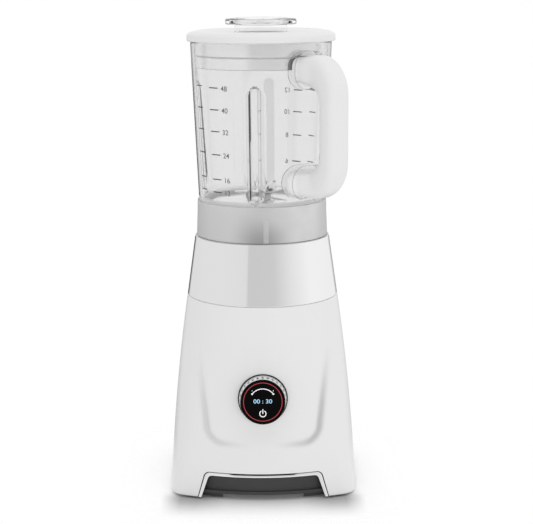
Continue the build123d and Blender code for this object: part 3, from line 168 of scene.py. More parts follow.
def rounded(corners, steps=6):
    """A closed outline whose (x, y, radius) corners are rounded with arcs."""
    outline = []
    for i, (x, y, radius) in enumerate(corners):
        if radius == 0:
            outline.append((x, y))
            continue
        here = Vector((x, y))
        back = (Vector(corners[i - 1][:2]) - here).normalized()
        ahead = (Vector(corners[(i + 1) % len(corners)][:2]) - here).normalized()
        half = back.angle(ahead) / 2
        centre = here + (back + ahead).normalized() * radius / math.sin(half)
        first = here + back * radius / math.tan(half) - centre
        last = here + ahead * radius / math.tan(half) - centre
        start = math.atan2(first.y, first.x)
        sweep = (math.atan2(last.y, last.x) - start + math.pi) % math.tau - math.pi
        for step in range(steps + 1):
            turn = start + sweep * step / steps
            outline.append((centre.x + radius * math.cos(turn), centre.y + radius * math.sin(turn)))
    return outline


def ring_faces(rings, size, ends="open"):
    """Quads between rings of points. The first and last ring are open, capped, or joined."""
    faces = []
    for ring in range(rings if ends == "joined" else rings - 1):
        low, high = ring * size, (ring + 1) % rings * size
        for i in range(size):
            j = (i + 1) % size
            faces.append((low + i, low + j, high + j, high + i))
    if ends == "capped":
        faces += [tuple(range(size)), tuple(range((rings - 1) * size, rings * size))]
    return faces


def smooth_step(share):
    """0 to 1 with level ends."""
    share = np.clip(share, 0, 1)
    return share * share * (3 - 2 * share)


def housing_outline(height):
    """Dense level outline of the housing's right half, front to back: four arcs, as in the CAD."""
    drop = (housing_top - height) / (housing_top - rim_height)
    swell = drop * (1 - drop)
    half_width = neck_radius + (rim_half_width - neck_radius) * (drop + side_flare_bow * swell)
    half_depth = neck_radius + (rim_half_depth - neck_radius) * (drop + front_flare_bow * swell)
    side_radius = 1 / ((1 - drop) / neck_radius + drop / side_bow_radius)
    front_radius = 1 / ((1 - drop) / neck_radius + drop / front_bow_radius)
    corner_radius = neck_radius + (rim_corner_radius - neck_radius) * drop
    side_centre = half_width - side_radius
    front_centre = half_depth - front_radius
    corner_x = corner_y = 0.0
    side_turn, front_turn = math.radians(30), math.radians(60)
    if drop > 1e-6:
        side_reach = side_radius - corner_radius
        front_reach = front_radius - corner_radius
        apart = math.hypot(side_centre, front_centre)
        along = (side_reach**2 - front_reach**2 + apart**2) / (2 * apart)
        across = math.sqrt(side_reach**2 - along**2)
        step_x, step_y = -side_centre / apart, front_centre / apart
        corner_x = side_centre + along * step_x - across * step_y
        corner_y = along * step_y + across * step_x
        side_turn = math.atan2(corner_y, corner_x - side_centre)
        front_turn = math.atan2(corner_y - front_centre, corner_x)
    front = np.linspace(math.pi / 2, front_turn, 80)
    corner = np.linspace(front_turn, side_turn, 60)[1:]
    side = np.linspace(side_turn, 0, 60)[1:]
    x = [front_radius * np.cos(front), corner_x + corner_radius * np.cos(corner)]
    x = np.concatenate(x + [side_centre + side_radius * np.cos(side)])
    y = [front_centre + front_radius * np.sin(front), corner_y + corner_radius * np.sin(corner)]
    y = np.concatenate(y + [side_radius * np.sin(side)])
    return np.concatenate([x, x[-2::-1]]), np.concatenate([-y, y[-2::-1]])


def panel_half_width(height):
    """Half the width of the pressed panel at a height."""
    slope = (panel_half_width_top - panel_half_width_bottom) / (panel_top - panel_bottom)
    return panel_half_width_bottom + slope * (height - panel_bottom)


def panel_press(x, height):
    """How deep the pressed panel lies at points of the front, and how near its crease they are."""
    from_side = panel_half_width(height) - x
    from_sill = np.full_like(x, height - panel_bottom)
    past_side = np.maximum(panel_corner - from_side, 0)
    past_sill = np.maximum(panel_corner - from_sill, 0)
    in_corner = panel_corner - np.hypot(past_side, past_sill)
    inside = np.minimum(np.minimum(from_side, from_sill), in_corner)
    middle = smooth_step(sill_blend - x / sill_reach)
    width = crease_width + (sill_width - crease_width) * middle
    down = (panel_top - height) / (panel_top - panel_bottom)
    depth = panel_depth_top + (panel_depth - panel_depth_top) * down
    fade = smooth_step(np.array((panel_top - height) / panel_fade))
    lower = smooth_step(np.array((crease_top - height) / crease_fade))
    bend = np.exp(-(((inside - crease_from_edge) / crease_spread) ** 2))
    crease = (1 - middle) * lower * bend
    return smooth_step(inside / width) * depth * fade + crease_groove * crease, crease


edge_insets = dict(rim_round + shoulder_round)
heights = [height for height, inset in rim_round]
for low, high, count in ((3.4, 48, 18), (48.8, 72, 30), (74, 148, 38), (150, 175.5, 12)):
    heights += list(np.linspace(low, high, count))
heights += [height for height, inset in shoulder_round]
crease_offsets = (14, 12, 10.5, 9, 7.5, 6, 4.8, 3.8, 3.0, 2.4, 1.8, 1.2, 0.6, 0, -1, -2, -3.5, -6)
panel_columns, back_columns = 22, 74
outer_rings, inner_rings, crease_shade_values = [], [], []
for height in heights:
    x, y = housing_outline(height)
    tangent = np.stack([np.gradient(x), np.gradient(y)])
    tangent /= np.linalg.norm(tangent, axis=0)
    normal_x, normal_y = tangent[1], -tangent[0]
    normal_x[0], normal_y[0] = 0, -1
    run = np.concatenate([[0], np.cumsum(np.hypot(np.diff(x), np.diff(y)))])
    half = len(x) // 2
    side = min(panel_half_width(height), x.max() - panel_margin)
    wanted = list(np.linspace(0, side - crease_offsets[0], panel_columns)[:-1])
    wanted += [side - offset for offset in crease_offsets]
    front_runs = np.interp(wanted, x[:half], run[:half])
    back_runs = np.linspace(front_runs[-1], run[-1], back_columns)[1:]
    at = np.concatenate([front_runs, back_runs])
    px, py, nx, ny = [np.interp(at, run, values) for values in (x, y, normal_x, normal_y)]
    inset, crease = [np.where(py < 0, values, 0) for values in panel_press(px, height)]
    inset += edge_insets.get(height, 0)
    skins = []
    for depth in (inset, np.maximum(housing_wall, inset + least_wall)):
        right = [(a - d * c, b - d * e, height) for a, b, c, e, d in zip(px, py, nx, ny, depth)]
        skins.append(right + [(-a, b, c) for a, b, c in right[-2:0:-1]])
    outer_rings.append(skins[0])
    inner_rings.insert(0, skins[1])
    crease_shade_values += list(crease * crease_shades[0]) + list(crease[-2:0:-1] * crease_shades[1])
shell_points = [point for ring in outer_rings + inner_rings for point in ring]
shell_faces = ring_faces(2 * len(heights), len(outer_rings[0]), "joined")

# ABS, moulded in a fine spark-eroded tool: white with an even satin sheen and a faint orange peel
satin_tone = ("#ebebeb", "#e8e8e8", 1.4, 0.004)
satin_sheen = {"Roughness": 0.34, "IOR": 1.54, "Coat_Weight": 0.08}
white_abs = surfaced("white_abs_satin", *satin_tone, **satin_sheen)
# The same ABS, greyer along the crease of the panel: painted shade, where shade falls in the crease
housing_abs = surfaced("white_abs_crease_shade", *satin_tone, **satin_sheen)
tint(housing_abs, "crease", "#c6c6c6")
housing = mesh_piece(
    "housing_shell", shell_points, shell_faces, "base", housing_abs, ["base_housing"]
)
# Painted shade: each point's share of the grey along the panel's crease, none on the inner skin
mark(housing, "crease", crease_shade_values + [0.0] * (len(shell_points) - len(crease_shade_values)))


def cut_away(piece, outline, place, near, far):
    """Cuts a prism out of a piece: an outline in millimetres, carried by a matrix."""
    cutter = bmesh.new()
    rings = []
    for depth in (near, far):
        rings.append([cutter.verts.new(place @ Vector((x, y, depth)) / 1000) for x, y in outline])
        cutter.faces.new(rings[-1])
    for i in range(len(outline)):
        cutter.faces.new((rings[0][i - 1], rings[0][i], rings[1][i], rings[1][i - 1]))
    bmesh.ops.recalc_face_normals(cutter, faces=cutter.faces)
    mesh = bpy.data.meshes.new("cutter")
    cutter.to_mesh(mesh)
    cutter.free()
    tool = bpy.data.objects.new("cutter", mesh)
    bpy.context.scene.collection.objects.link(tool)
    cut = piece.modifiers.new("cut", "BOOLEAN")
    cut.object = tool
    cut.solver = "EXACT"
    bpy.context.view_layer.update()
    graph = bpy.context.evaluated_depsgraph_get()
    result = bpy.data.meshes.new_from_object(piece.evaluated_get(graph))
    piece.modifiers.remove(cut)
    piece.data = result
    result.set_sharp_from_angle(angle=sharp_edge)
    bpy.data.objects.remove(tool)


def circle(radius, steps):
    """A closed round outline."""
    turns = [math.tau * i / steps for i in range(steps)]
    return [(radius * math.cos(turn), radius * math.sin(turn)) for turn in turns]


def arch_outline(inset):
    """The arch seen from the front, open below, moved inwards."""
    lean = (arch_half_width_rim - arch_half_width_top) / arch_top
    foot = arch_half_width_rim - inset + lean * rim_height
    top, level = arch_half_width_top - inset, arch_top - inset
    corner = arch_corner - inset / 2
    corners = [(-foot, -rim_height, 0), (-top, level, corner), (top, level, corner), (foot, -rim_height, 0)]
    return rounded(corners, 10)


# Looking straight at the front: x to the right, y up, depth towards the viewer
front_view = Matrix(((1, 0, 0), (0, 0, -1), (0, 1, 0))).to_4x4()
dial_view = Matrix.Translation((0, -dial_face_depth, dial_height))
dial_view = dial_view @ Matrix.Rotation(-dial_tilt, 4, "X") @ front_view
gland_view = front_view @ Matrix.Translation((0, gland_height, 0))
cut_away(housing, arch_outline(0), front_view, *arch_cut)
cut_away(housing, circle(dial_hole_radius, 96), dial_view, *dial_cut)
cut_away(housing, circle(gland_hole_radius, 48), gland_view, *gland_cut)


# Housing neck: the upright collar of the same ABS moulding. It is hidden under the steel band, which is
# pressed over it.

long_side = 3.0
edge_loop = 0.4
neck_corners = [(67.2, 172, 0), (69.5, 172, 0), (69.6, 177, 0)]
neck_corners += [(67.05, 195, 0.6), (64.65, 195, 0.6), (67.2, 177, 0)]


def lathe(name, corners, body, material, stands_for=(), arc=6, steps=192, place=None):
    """Turns (radius, height, rounding) corners about the upright axis, or a matrix's depth axis.
    A long side gets a loop of points near each end, so that it is shaded flat."""
    outline, profile = rounded(corners, arc), []
    for (r, z), (next_r, next_z) in zip(outline, outline[1:] + outline[:1]):
        profile.append((r, z))
        length = math.hypot(next_r - r, next_z - z)
        if length > long_side:
            for share in (edge_loop / length, 1 - edge_loop / length):
                profile.append((r + (next_r - r) * share, z + (next_z - z) * share))
    points = []
    for step in range(steps):
        turn = math.tau * step / steps
        points += [(r * math.sin(turn), -r * math.cos(turn), z) for r, z in profile]
    if place is not None:
        points = [place @ Vector(point) for point in points]
    faces = ring_faces(steps, len(profile), "joined")
    return mesh_piece(name, points, faces, body, material, stands_for)


lathe("housing_neck", neck_corners, "base", white_abs, ["base_housing"])


# Arch trim: a bent strip of polished stainless steel that lines the arch. Its two legs and its top bar are
# one piece, snapped into the thickness of the housing's wall with a hairline gap above the bar.

trim_gap = 0.7
trim_width = 3.0
trim_thickness = 2.4
trim_set_back = 0.25
trim_edge = 0.7
trim_foot = 2.2
trim_steps = 140
bar_reach = 5.0
slot_half_width = 32.0
slot_height = 0.9
slot_taper = 5.0


def housing_front(x, height):
    """Depth of the housing's skin in front of the axis."""
    across, depth = housing_outline(height)
    half = len(across) // 2
    return -float(np.interp(abs(x), across[:half], depth[:half]))


def arch_line(inset):
    """Even points along the arch, from the left foot over the top to the right foot."""
    lean = (arch_half_width_rim - arch_half_width_top) / arch_top
    foot = arch_half_width_rim - inset - lean * trim_foot
    line = np.array([(-foot, trim_foot)] + arch_outline(inset)[1:-1] + [(foot, trim_foot)])
    run = np.concatenate([[0], np.cumsum(np.hypot(*np.diff(line, axis=0).T))])
    at = np.linspace(0, 1, trim_steps) * run[-1]
    return np.stack([np.interp(at, run, line[:, i]) for i in (0, 1)], axis=1)


# Polished steel: a mirror with a faint haze from the buffing, seen as soft streaks of tone
polished_steel = surfaced(
    "polished_stainless_steel", "#f2f2f3", "#eeeeef", 0.6, 0.0004, Metallic=1.0, Roughness=0.11
)
section = [(0, -trim_thickness, 0), (0, 0, trim_edge), (trim_width, 0, trim_edge)]
section = rounded(section + [(trim_width, -trim_thickness, 0)], 4)
trim_points = []
for (ox, oz), (ix, iz) in zip(arch_line(trim_gap), arch_line(trim_gap + trim_width)):
    for across, depth in section:
        share = across / trim_width
        x, z = ox + (ix - ox) * share, oz + (iz - oz) * share
        if z > arch_top - bar_reach:
            z -= slot_height * (1 - share) * float(smooth_step((slot_half_width - abs(x)) / slot_taper))
        skin = housing_front(x, max(z, rim_height))
        trim_points.append((x, trim_set_back - skin - depth, z))
trim_faces = ring_faces(trim_steps, len(section), "capped")
mesh_piece("arch_strip", trim_points, trim_faces, "base", polished_steel, ["arch_trim"])


# Bottom cover: a dark ABS floor with foot blocks, motor posts, air slots and the wall that shows behind the
# arch. Rubber feet are pressed into its blocks, and four steel screws hold it to the housing.

foot_x, foot_y = 67.3, 64.0
foot_corners = [(0, 0.02, 0), (8.4, 0.02, 0.5), (8.6, 1.6, 0.3), (7, 1.6, 0.2), (6.8, 6, 0.4), (0, 6, 0)]


def dress(material, *node_names):
    """Gives CAD nodes a material and smooth shading; their shapes stay as they are."""
    for name in node_names:
        mesh = nodes[name].data
        mesh.shade_smooth()
        mesh.set_sharp_from_angle(angle=math.radians(25))
        mesh.materials.clear()
        mesh.materials.append(material)


# ABS, matt from a blasted tool: dark grey, with a grain that just breaks up its sheen
dark_abs = surfaced("dark_abs_matt", "#3b3b3c", "#333334", 0.9, 0.02, Roughness=0.62, IOR=1.54)
dress(dark_abs, "bottom_cover", "cord_gland", "dial_carrier", "display_module", "fan_shroud", "brush_holders")
# Nitrile rubber, pressed: nearly black and dull, a little chalky on the skin
black_rubber = surfaced("nitrile_rubber", "#232323", "#191919", 1.2, 0.03, Roughness=0.85, IOR=1.52)
dress(black_rubber, "motor_mounts")
for name, x, y in (
    ("foot_front_left", -foot_x, -foot_y),
    ("foot_front_right", foot_x, -foot_y),
    ("foot_back_left", -foot_x, foot_y),
    ("foot_back_right", foot_x, foot_y),
):
    place = Matrix.Translation((x, y, 0))
    lathe(name, foot_corners, "base", black_rubber, ["feet"], arc=4, steps=64, place=place)
# Stainless steel, turned and ground: fine bright scratches
ground_steel = surfaced(
    "ground_stainless_steel", "#c3c5c8", "#a9abae", 0.5, 0.004, Metallic=1.0, Roughness=0.3
)
dress(ground_steel, "cover_screws", "motor_bolts", "lower_bearing", "upper_bearing", "motor_shaft")
dress(ground_steel, "blade_shaft", "thrust_washer")


# Motor: a two-pole universal motor on rubber mounts. Its stator and armature are stacks of sheet steel, the
# coils are enamelled copper, the brackets are die-cast and the brushes are graphite. It is all inside.

# Electrical steel, stamped and stacked: dark blue-grey, ribbed by the edges of its sheets
stacked_steel = surfaced(
    "stacked_electrical_steel", "#6d7176", "#54585d", 0.5, 0.02, Metallic=0.9, Roughness=0.45
)
dress(stacked_steel, "motor_stator", "armature_core")
# Copper wire under clear enamel: warm, with dark valleys between the turns
enamelled_copper = surfaced(
    "enamelled_copper_wire", "#b8703f", "#7c4320", 0.7, 0.15, Metallic=0.8, Roughness=0.32
)
dress(enamelled_copper, "field_coils", "armature_windings", "commutator")
# Aluminium, die-cast: light grey with the clouded skin of the mould
cast_aluminium = surfaced("cast_aluminium", "#b4b6b8", "#999b9e", 2.0, 0.03, Metallic=0.9, Roughness=0.5)
dress(cast_aluminium, "lower_bracket", "upper_bracket")
# Graphite, pressed: black with a dull metallic dust
pressed_graphite = surfaced("pressed_graphite", "#2b2b2d", "#1d1d1f", 0.4, 0.02, Roughness=0.7)
dress(pressed_graphite, "carbon_brushes")
# Glass-epoxy board under green solder mask: a faint weave shows as mottling
solder_mask = surfaced("green_solder_mask", "#17512f", "#0f3f23", 0.8, 0.01, Roughness=0.4)
dress(solder_mask, "power_board", "control_board")
# Glass-filled nylon, moulded: charcoal, with pale fibres at the skin
filled_nylon = surfaced("glass_filled_nylon", "#3a3a3c", "#29292b", 0.6, 0.03, Roughness=0.55)
dress(filled_nylon, "drive_coupling", "driven_coupling", "cooling_fan")


# Steel band: a tapered sleeve of polished stainless steel, spun from sheet, that covers the neck between the
# housing and the jar seat. Its lower edge stands on the housing's shoulder.

band_corners = [(70.55, 177.3, 0.35), (62.72, 232.8, 0.35), (61.95, 232.8, 0.2), (69.75, 177.3, 0.2)]
lathe("polished_band", band_corners, "base", polished_steel, ["steel_band"], 4, 288)


# Jar seat: a grey ABS socket inside the band, with a lip that closes the band's top edge. A flat rubber ring
# on its deck takes the jar's weight and stops it rattling.

seat_corners = [(13, 203, 0.5), (64.63, 203, 0), (64.65, 195, 0), (67.05, 195, 0), (62.1, 230, 0)]
seat_corners += [(61.8, 233.2, 0.4), (59, 233.2, 0.8), (59, 206, 1.0), (13, 206, 0.8)]
pad_corners = [(40, 206, 0.3), (58.8, 206, 0.3), (58.8, 208, 0.6), (40, 208, 0.6)]
# ABS, moulded: mid grey and satin
grey_abs = surfaced("grey_abs_satin", "#cfd0d2", "#c9cacc", 1.4, 0.01, Roughness=0.42, IOR=1.54)
lathe("jar_socket", seat_corners, "base", grey_abs, ["jar_seat"])
lathe("seat_ring", pad_corners, "base", black_rubber, ["seat_pad"], 4)


# Dial bezel: an ABS ring snapped into the hole in the housing, in dark ABS as painted shade. A groove in its
# face takes the foot of the turning ring, and the dark ring shows as the shadow line round it.

bezel_corners = [(17.1, -6.2, 0), (22.6, -6.2, 0), (22.6, 0.2, 0.3), (22.1, 0.2, 0.2)]
bezel_corners += [(22.1, -2.6, 0), (17.1, -2.6, 0)]
# Painted shade: the dark ABS stands for the shadow in the gap round the turning ring
lathe("dial_rim", bezel_corners, "base", dark_abs, ["dial_bezel"], 4, place=dial_view)


# Dial ring: turned and diamond-knurled steel, bright plated, that turns on the carrier's barrel. Its front
# edge is a narrow black lip round the display window.

ring_foot_radius = 21.6
ring_lip_radius = 20.45
knurl_low = 0.9
knurl_length = 14.2
knurl_depth = 0.3
knurl_rows = 4
knurl_fade = 0.05
pit_count = 28
pit_reach = 8.0
pit_half_width = 1.5
pit_half_length = 2.3
pit_depth = 0.8
pit_steps = 14
ring_steps = pit_count * pit_steps
ring_profile = [(17.2, 0.5), (21.0, 0.5)]
knurl_start = len(ring_profile)
for share in np.linspace(0, 1, 41):
    radius = ring_foot_radius + (ring_lip_radius - ring_foot_radius) * share
    ring_profile.append((radius, knurl_low + knurl_length * share))
lip_start = len(ring_profile)
ring_profile += [(20.42, 15.6), (20.36, 15.9), (20.25, 16.0), (20.15, 15.9), (20.12, 15.7)]
lip_end = len(ring_profile)
ring_profile += [(20.12, 11.2), (17.2, 11.2)]
ring_points, pit_points = [], set()
for step in range(ring_steps):
    turn = math.tau * step / ring_steps
    aside = ((step / pit_steps + 0.5) % 1 - 0.5) * math.tau * ring_foot_radius / pit_count
    for i, (radius, reach) in enumerate(ring_profile):
        if knurl_start <= i < lip_start:
            share = (reach - knurl_low) / knurl_length
            wave = abs(math.sin(pit_count * turn / 2)) * abs(math.sin(math.pi * knurl_rows * share))
            radius -= knurl_depth * (1 - wave) * min(1.0, share / knurl_fade, (1 - share) / knurl_fade)
            inside = 1 - math.hypot(aside / pit_half_width, (reach - pit_reach) / pit_half_length)
            if inside > 0:
                radius -= pit_depth * min(1.0, inside * 2)
                pit_points.add(len(ring_points))
        ring_points.append(dial_view @ Vector((radius * math.sin(turn), radius * math.cos(turn), reach)))
ring_quads = ring_faces(ring_steps, len(ring_profile), "joined")
# Steel, knurled and bright plated: a sharp mirror broken into small facets, with a black lip, and pits drawn
# black as painted shade
bright_steel = surfaced(
    "bright_plated_steel", "#f6f6f7", "#eeeeef", 0.4, 0.001, Metallic=0.7, Roughness=0.2
)
ring = mesh_piece(
    "knurled_ring", ring_points, ring_quads, "dial_knob", bright_steel, ["dial_ring"]
)
ring.data.materials.append(dark_abs)
# Faces in the pits take the dark ABS as painted shade; faces of the black lip take it as their own colour
for face in ring.data.polygons:
    in_pit = all(corner in pit_points for corner in face.vertices)
    on_lip = all(lip_start <= corner % len(ring_profile) < lip_end for corner in face.vertices)
    face.material_index = int(in_pit or on_lip)


# Display window: a disc of smoked acrylic that is pressed to switch the blender on. A red ring of light, a
# white speed arc, a readout and a switch mark show through its face.

window_face = 15.6
print_depth = (-0.02, 0.03)
numeral_depth = 0.03
numeral_weight = 0.006
window_corners = [(0, 13.2, 0), (19.95, 13.2, 0.2), (19.95, window_face, 0.45), (0, window_face, 0)]
light_radii = (17.65, 17.0)
stroke = 0.75
stroke_steps = 48
tip_steps = 8
arc_radius = 12.1
arc_rise = -0.2
arc_half_turn = 52
arc_dot = 0.8
sign_x, sign_y = 9.5, 10.2
switch_radius = 2.8
switch_ring_y = -10.6
switch_bar_y = -8.65
switch_bar = (0.4, 2.1, 0.35)
readout_size = 5.3
readout_stretch = 1.16
readout_rise = 0.4
readout_lift = 0.005
# Acrylic, smoked black and polished: deep gloss
smoked_acrylic = surfaced(
    "smoked_acrylic", "#060607", "#040405", 2.0, 0.0002, Roughness=0.08, IOR=1.49, Specular_IOR_Level=0.06
)
lathe(
    "smoked_window",
    window_corners,
    "power_button",
    smoked_acrylic,
    ["display_window"],
    place=dial_view,
)


def lit_ink(name, bright, dim, glow):
    """Lit print behind the window: ink with a slight mottle that also glows."""
    material = surfaced(name, bright, dim, 0.5, 0.0005, Roughness=0.4)
    shader = material.node_tree.nodes["Principled BSDF"]
    shader.inputs["Emission Color"].default_value = colour(bright)
    shader.inputs["Emission Strength"].default_value = glow
    return material


def prisms(outlines, near, far):
    """Closed flat prisms from outlines in millimetres: their points and faces."""
    points, faces = [], []
    for outline in outlines:
        start = len(points)
        points += [(x, y, depth) for depth in (near, far) for x, y in outline]
        caps_and_sides = ring_faces(2, len(outline), "capped")
        faces += [tuple(start + corner for corner in face) for face in caps_and_sides]
    return points, faces


def arc_band(middle_y, radius, start, end):
    """Outline of a bent stroke with round ends; angles in degrees from the right, turning left."""
    outline = []
    angles = [math.radians(start + (end - start) * i / stroke_steps) for i in range(stroke_steps + 1)]
    for side, run in ((1, angles), (-1, angles[::-1])):
        reach = radius + side * stroke / 2
        outline += [(reach * math.cos(a), middle_y + reach * math.sin(a)) for a in run]
        tip = run[-1]
        x, y = radius * math.cos(tip), middle_y + radius * math.sin(tip)
        for i in range(1, tip_steps):
            turn = tip + math.pi * i / tip_steps + (0 if side == 1 else math.pi)
            outline.append((x + stroke / 2 * math.cos(turn), y + stroke / 2 * math.sin(turn)))
    return outline


def on_window(name, outlines, material):
    """Lays flat print on the window's face."""
    points, faces = prisms(outlines, *[window_face + depth for depth in print_depth])
    return mesh_piece(name, [dial_view @ Vector(p) for p in points], faces, "power_button", material)


def numerals(text, size):
    """Flat solid numerals in millimetres, centred on the origin: their points and faces."""
    curve = bpy.data.curves.new("numerals", "FONT")
    curve.body = text
    curve.size = size
    curve.align_x = "CENTER"
    curve.align_y = "CENTER"
    curve.extrude = numeral_depth
    curve.offset = size * numeral_weight
    holder = bpy.data.objects.new("numerals", curve)
    bpy.context.scene.collection.objects.link(holder)
    bpy.context.view_layer.update()
    mesh = bpy.data.meshes.new_from_object(holder)
    points = [tuple(v.co) for v in mesh.vertices]
    faces = [tuple(p.vertices) for p in mesh.polygons]
    bpy.data.objects.remove(holder)
    bpy.data.meshes.remove(mesh)
    return points, faces


# Red ink on a lit film: a deep red that glows a little
red_light = lit_ink("red_light_ring", "#b3303d", "#a62a37", 0.1)
half_rings = []
for start in (0, math.pi):
    turns = np.linspace(start, start + math.pi, 90)
    half = [(light_radii[0] * math.cos(a), light_radii[0] * math.sin(a)) for a in turns]
    half += [(light_radii[1] * math.cos(a), light_radii[1] * math.sin(a)) for a in turns[::-1]]
    half_rings.append(half)
red_ring = on_window("red_light", half_rings, red_light)
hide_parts("light_ring")
# White ink, screen printed and lit from behind: clean thin strokes
white_ink = lit_ink("white_screen_print", "#f4f4f4", "#e9e9e9", 0.25)
speed_arc = [arc_band(arc_rise, arc_radius, 90 - arc_half_turn, 90 + arc_half_turn)]
for side in (1, -1):
    tip = math.radians(90 + side * arc_half_turn)
    dot_x, dot_y = arc_radius * math.cos(tip), arc_rise + arc_radius * math.sin(tip)
    speed_arc.append([(dot_x + x, dot_y + y) for x, y in circle(arc_dot, 24)])
on_window("speed_arc", speed_arc, white_ink)
minus = ((-0.5, -0.14), (0.5, -0.14), (0.5, 0.14), (-0.5, 0.14))
plus = ((-0.5, -0.14), (-0.14, -0.14), (-0.14, -0.5), (0.14, -0.5), (0.14, -0.14), (0.5, -0.14))
plus += tuple((-x, -y) for x, y in plus)
signs = [[(side * sign_x + x, sign_y + y) for x, y in sign] for side, sign in ((-1, minus), (1, plus))]
on_window("speed_marks", signs, white_ink)
bar_x, bar_y, bar_round = switch_bar
bar = rounded([(x * bar_x, y * bar_y, bar_round) for x, y in ((-1, -1), (1, -1), (1, 1), (-1, 1))])
bar = [(x, y + switch_bar_y) for x, y in bar]
on_window("switch_mark", [arc_band(switch_ring_y, switch_radius, 125, 415), bar], white_ink)
# Pale blue ink, lit from behind: the numerals of the readout
blue_light = lit_ink("pale_blue_readout", "#a9d4f2", "#93c4e8", 0.3)
points, faces = numerals("00 : 30", readout_size)
readout = [(x * readout_stretch, y + readout_rise, window_face + readout_lift + z) for x, y, z in points]
readout = [dial_view @ Vector(point) for point in readout]
mesh_piece("readout", readout, faces, "power_button", blue_light)


# Blade unit: a spun steel floor clamped under the jar's neck with a silicone ring. Two bushings of
# sintered bronze and a lip seal carry the shaft; two ground steel blades are held on it by a nut.

floor_corners = [(7, 236, 0.3), (11, 236, 0.6), (11, 265.7, 1), (44, 263.2, 2), (47.5, 258.6, 1)]
floor_corners += [(47.5, 243, 0.5), (54.2, 243, 0.5), (54.2, 246, 0.3), (50.3, 246, 0.5)]
floor_corners += [(50.3, 262.6, 1.0), (45.5, 265.8, 4), (11, 268.5, 1), (7, 268.5, 0.4)]
# Silicone rubber, pressed: milky and dull
milky_silicone = surfaced("milky_silicone", "#ececec", "#e6e6e6", 1.0, 0.01, Roughness=0.6, IOR=1.41)
dress(milky_silicone, "blade_gasket", "shaft_seal")
# Bronze, sintered: brown gold, with oil-filled pores
sintered_bronze = surfaced("sintered_bronze", "#b08a4f", "#8d6b38", 0.3, 0.02, Metallic=0.9, Roughness=0.42)
dress(sintered_bronze, "upper_bushing", "lower_bushing")
# Stainless steel, ground and buffed: bright, with a soft mirror that takes the white of the room
blade_steel = surfaced("buffed_blade_steel", "#ffffff", "#fafafa", 0.7, 0.001, Metallic=0.95, Roughness=0.12)
dress(blade_steel, "lower_blade", "upper_blade", "blade_nut")
# Stainless steel, spun and polished: a bright floor that mirrors the jar's wall
spun_steel = surfaced("spun_stainless_steel", "#ffffff", "#fcfcfc", 0.6, 0.0006, Metallic=1.0, Roughness=0.06)
lathe("jar_floor", floor_corners, "jar", spun_steel, ["blade_seat"])


# Jar: clear copolyester, injection moulded, with a narrow neck, a round shoulder and four upright flutes that
# stir the food. Two clear sockets for the handle's arms are bonded to its wall.

jar_neck_radius = 54.5
jar_bore = 50.9
jar_foot = 248.0
jar_shoulder = 263.0
jar_shoulder_radius = 58.5
jar_top = 414.0
jar_top_radius = 65.3
jar_wall = 3.0
inner_foot = 270.0
jar_lean = (jar_top_radius - jar_shoulder_radius) / (jar_top - jar_shoulder)
frost_top = 271.2
flute_width = 11.0
flute_foot = 268.0
flute_top = 375.0
flute_half_turn = 8
flute_slope = 1.4
flute_fill = 0.35
# Each flute: its turn in degrees, its depth at the top and at the foot, how much wider it is on the inside,
# and how square its edge is on the outside
flutes = ((-5.2, 4.2, 5.5, 3.4, 4), (83, 2.7, 5.0, 0.8, 2), (173, 2.7, 5.0, 0.8, 2), (263, 3.0, 6.0, 0.8, 2))
# Painted dark lines down the front flute, standing for its shade and dark reflections: distance from its
# middle, half width and strength
flute_lines = ((-4.9, 0.62, 1.0), (2.5, 0.35, 0.3), (5.1, 0.45, 0.4))
line_end_gap = 4.0
# Painted shade in the back flute: its turns in degrees, its strength and the dent depth where it is full
back_flute = (160, 186)
back_shade = 0.17
back_shade_depth = 1.2
# Painted highlight down the left flute: its turns in degrees and the dent depth where it is full
left_flute = (250, 276)
left_highlight_depth = 0.5
socket_reach = 73.0
socket_corner = 15.0
# Each socket: its name, the height of its middle, and its own height and width
sockets = (("upper_socket", 389.0, 34.4, 36.0), ("lower_socket", 288.8, 31.4, 42.0))
handle_turn = math.radians(38)


def jar_radius(height):
    """Outside radius of the jar's wall."""
    return jar_shoulder_radius + jar_lean * (height - jar_shoulder)


def turned_away(turn, flute):
    """Degrees between a turn and the middle of a flute."""
    return abs((turn - flute[0] + 180) % 360 - 180)


def flute_dent(turn, height, inner):
    """How far the wall is pressed in by the nearest flute, which is softer on the inside of the wall."""
    flute = min(flutes, key=lambda other: turned_away(turn, other))
    top_depth, foot_depth, wider, square = flute[1:]
    spread = wider if inner else 0
    half = flute_width / 2 + spread
    aside = math.radians(turned_away(turn, flute)) * jar_radius(height)
    beyond = max(flute_foot + half - height, height - flute_top + half, 0)
    share = math.hypot(aside, beyond) / half
    if share >= 1:
        return 0.0
    up = (height - flute_foot) / (flute_top - flute_foot)
    depth = foot_depth + (top_depth - foot_depth) * up - flute_fill * spread
    return depth * (1 - share ** (2 if inner else square)) ** flute_slope


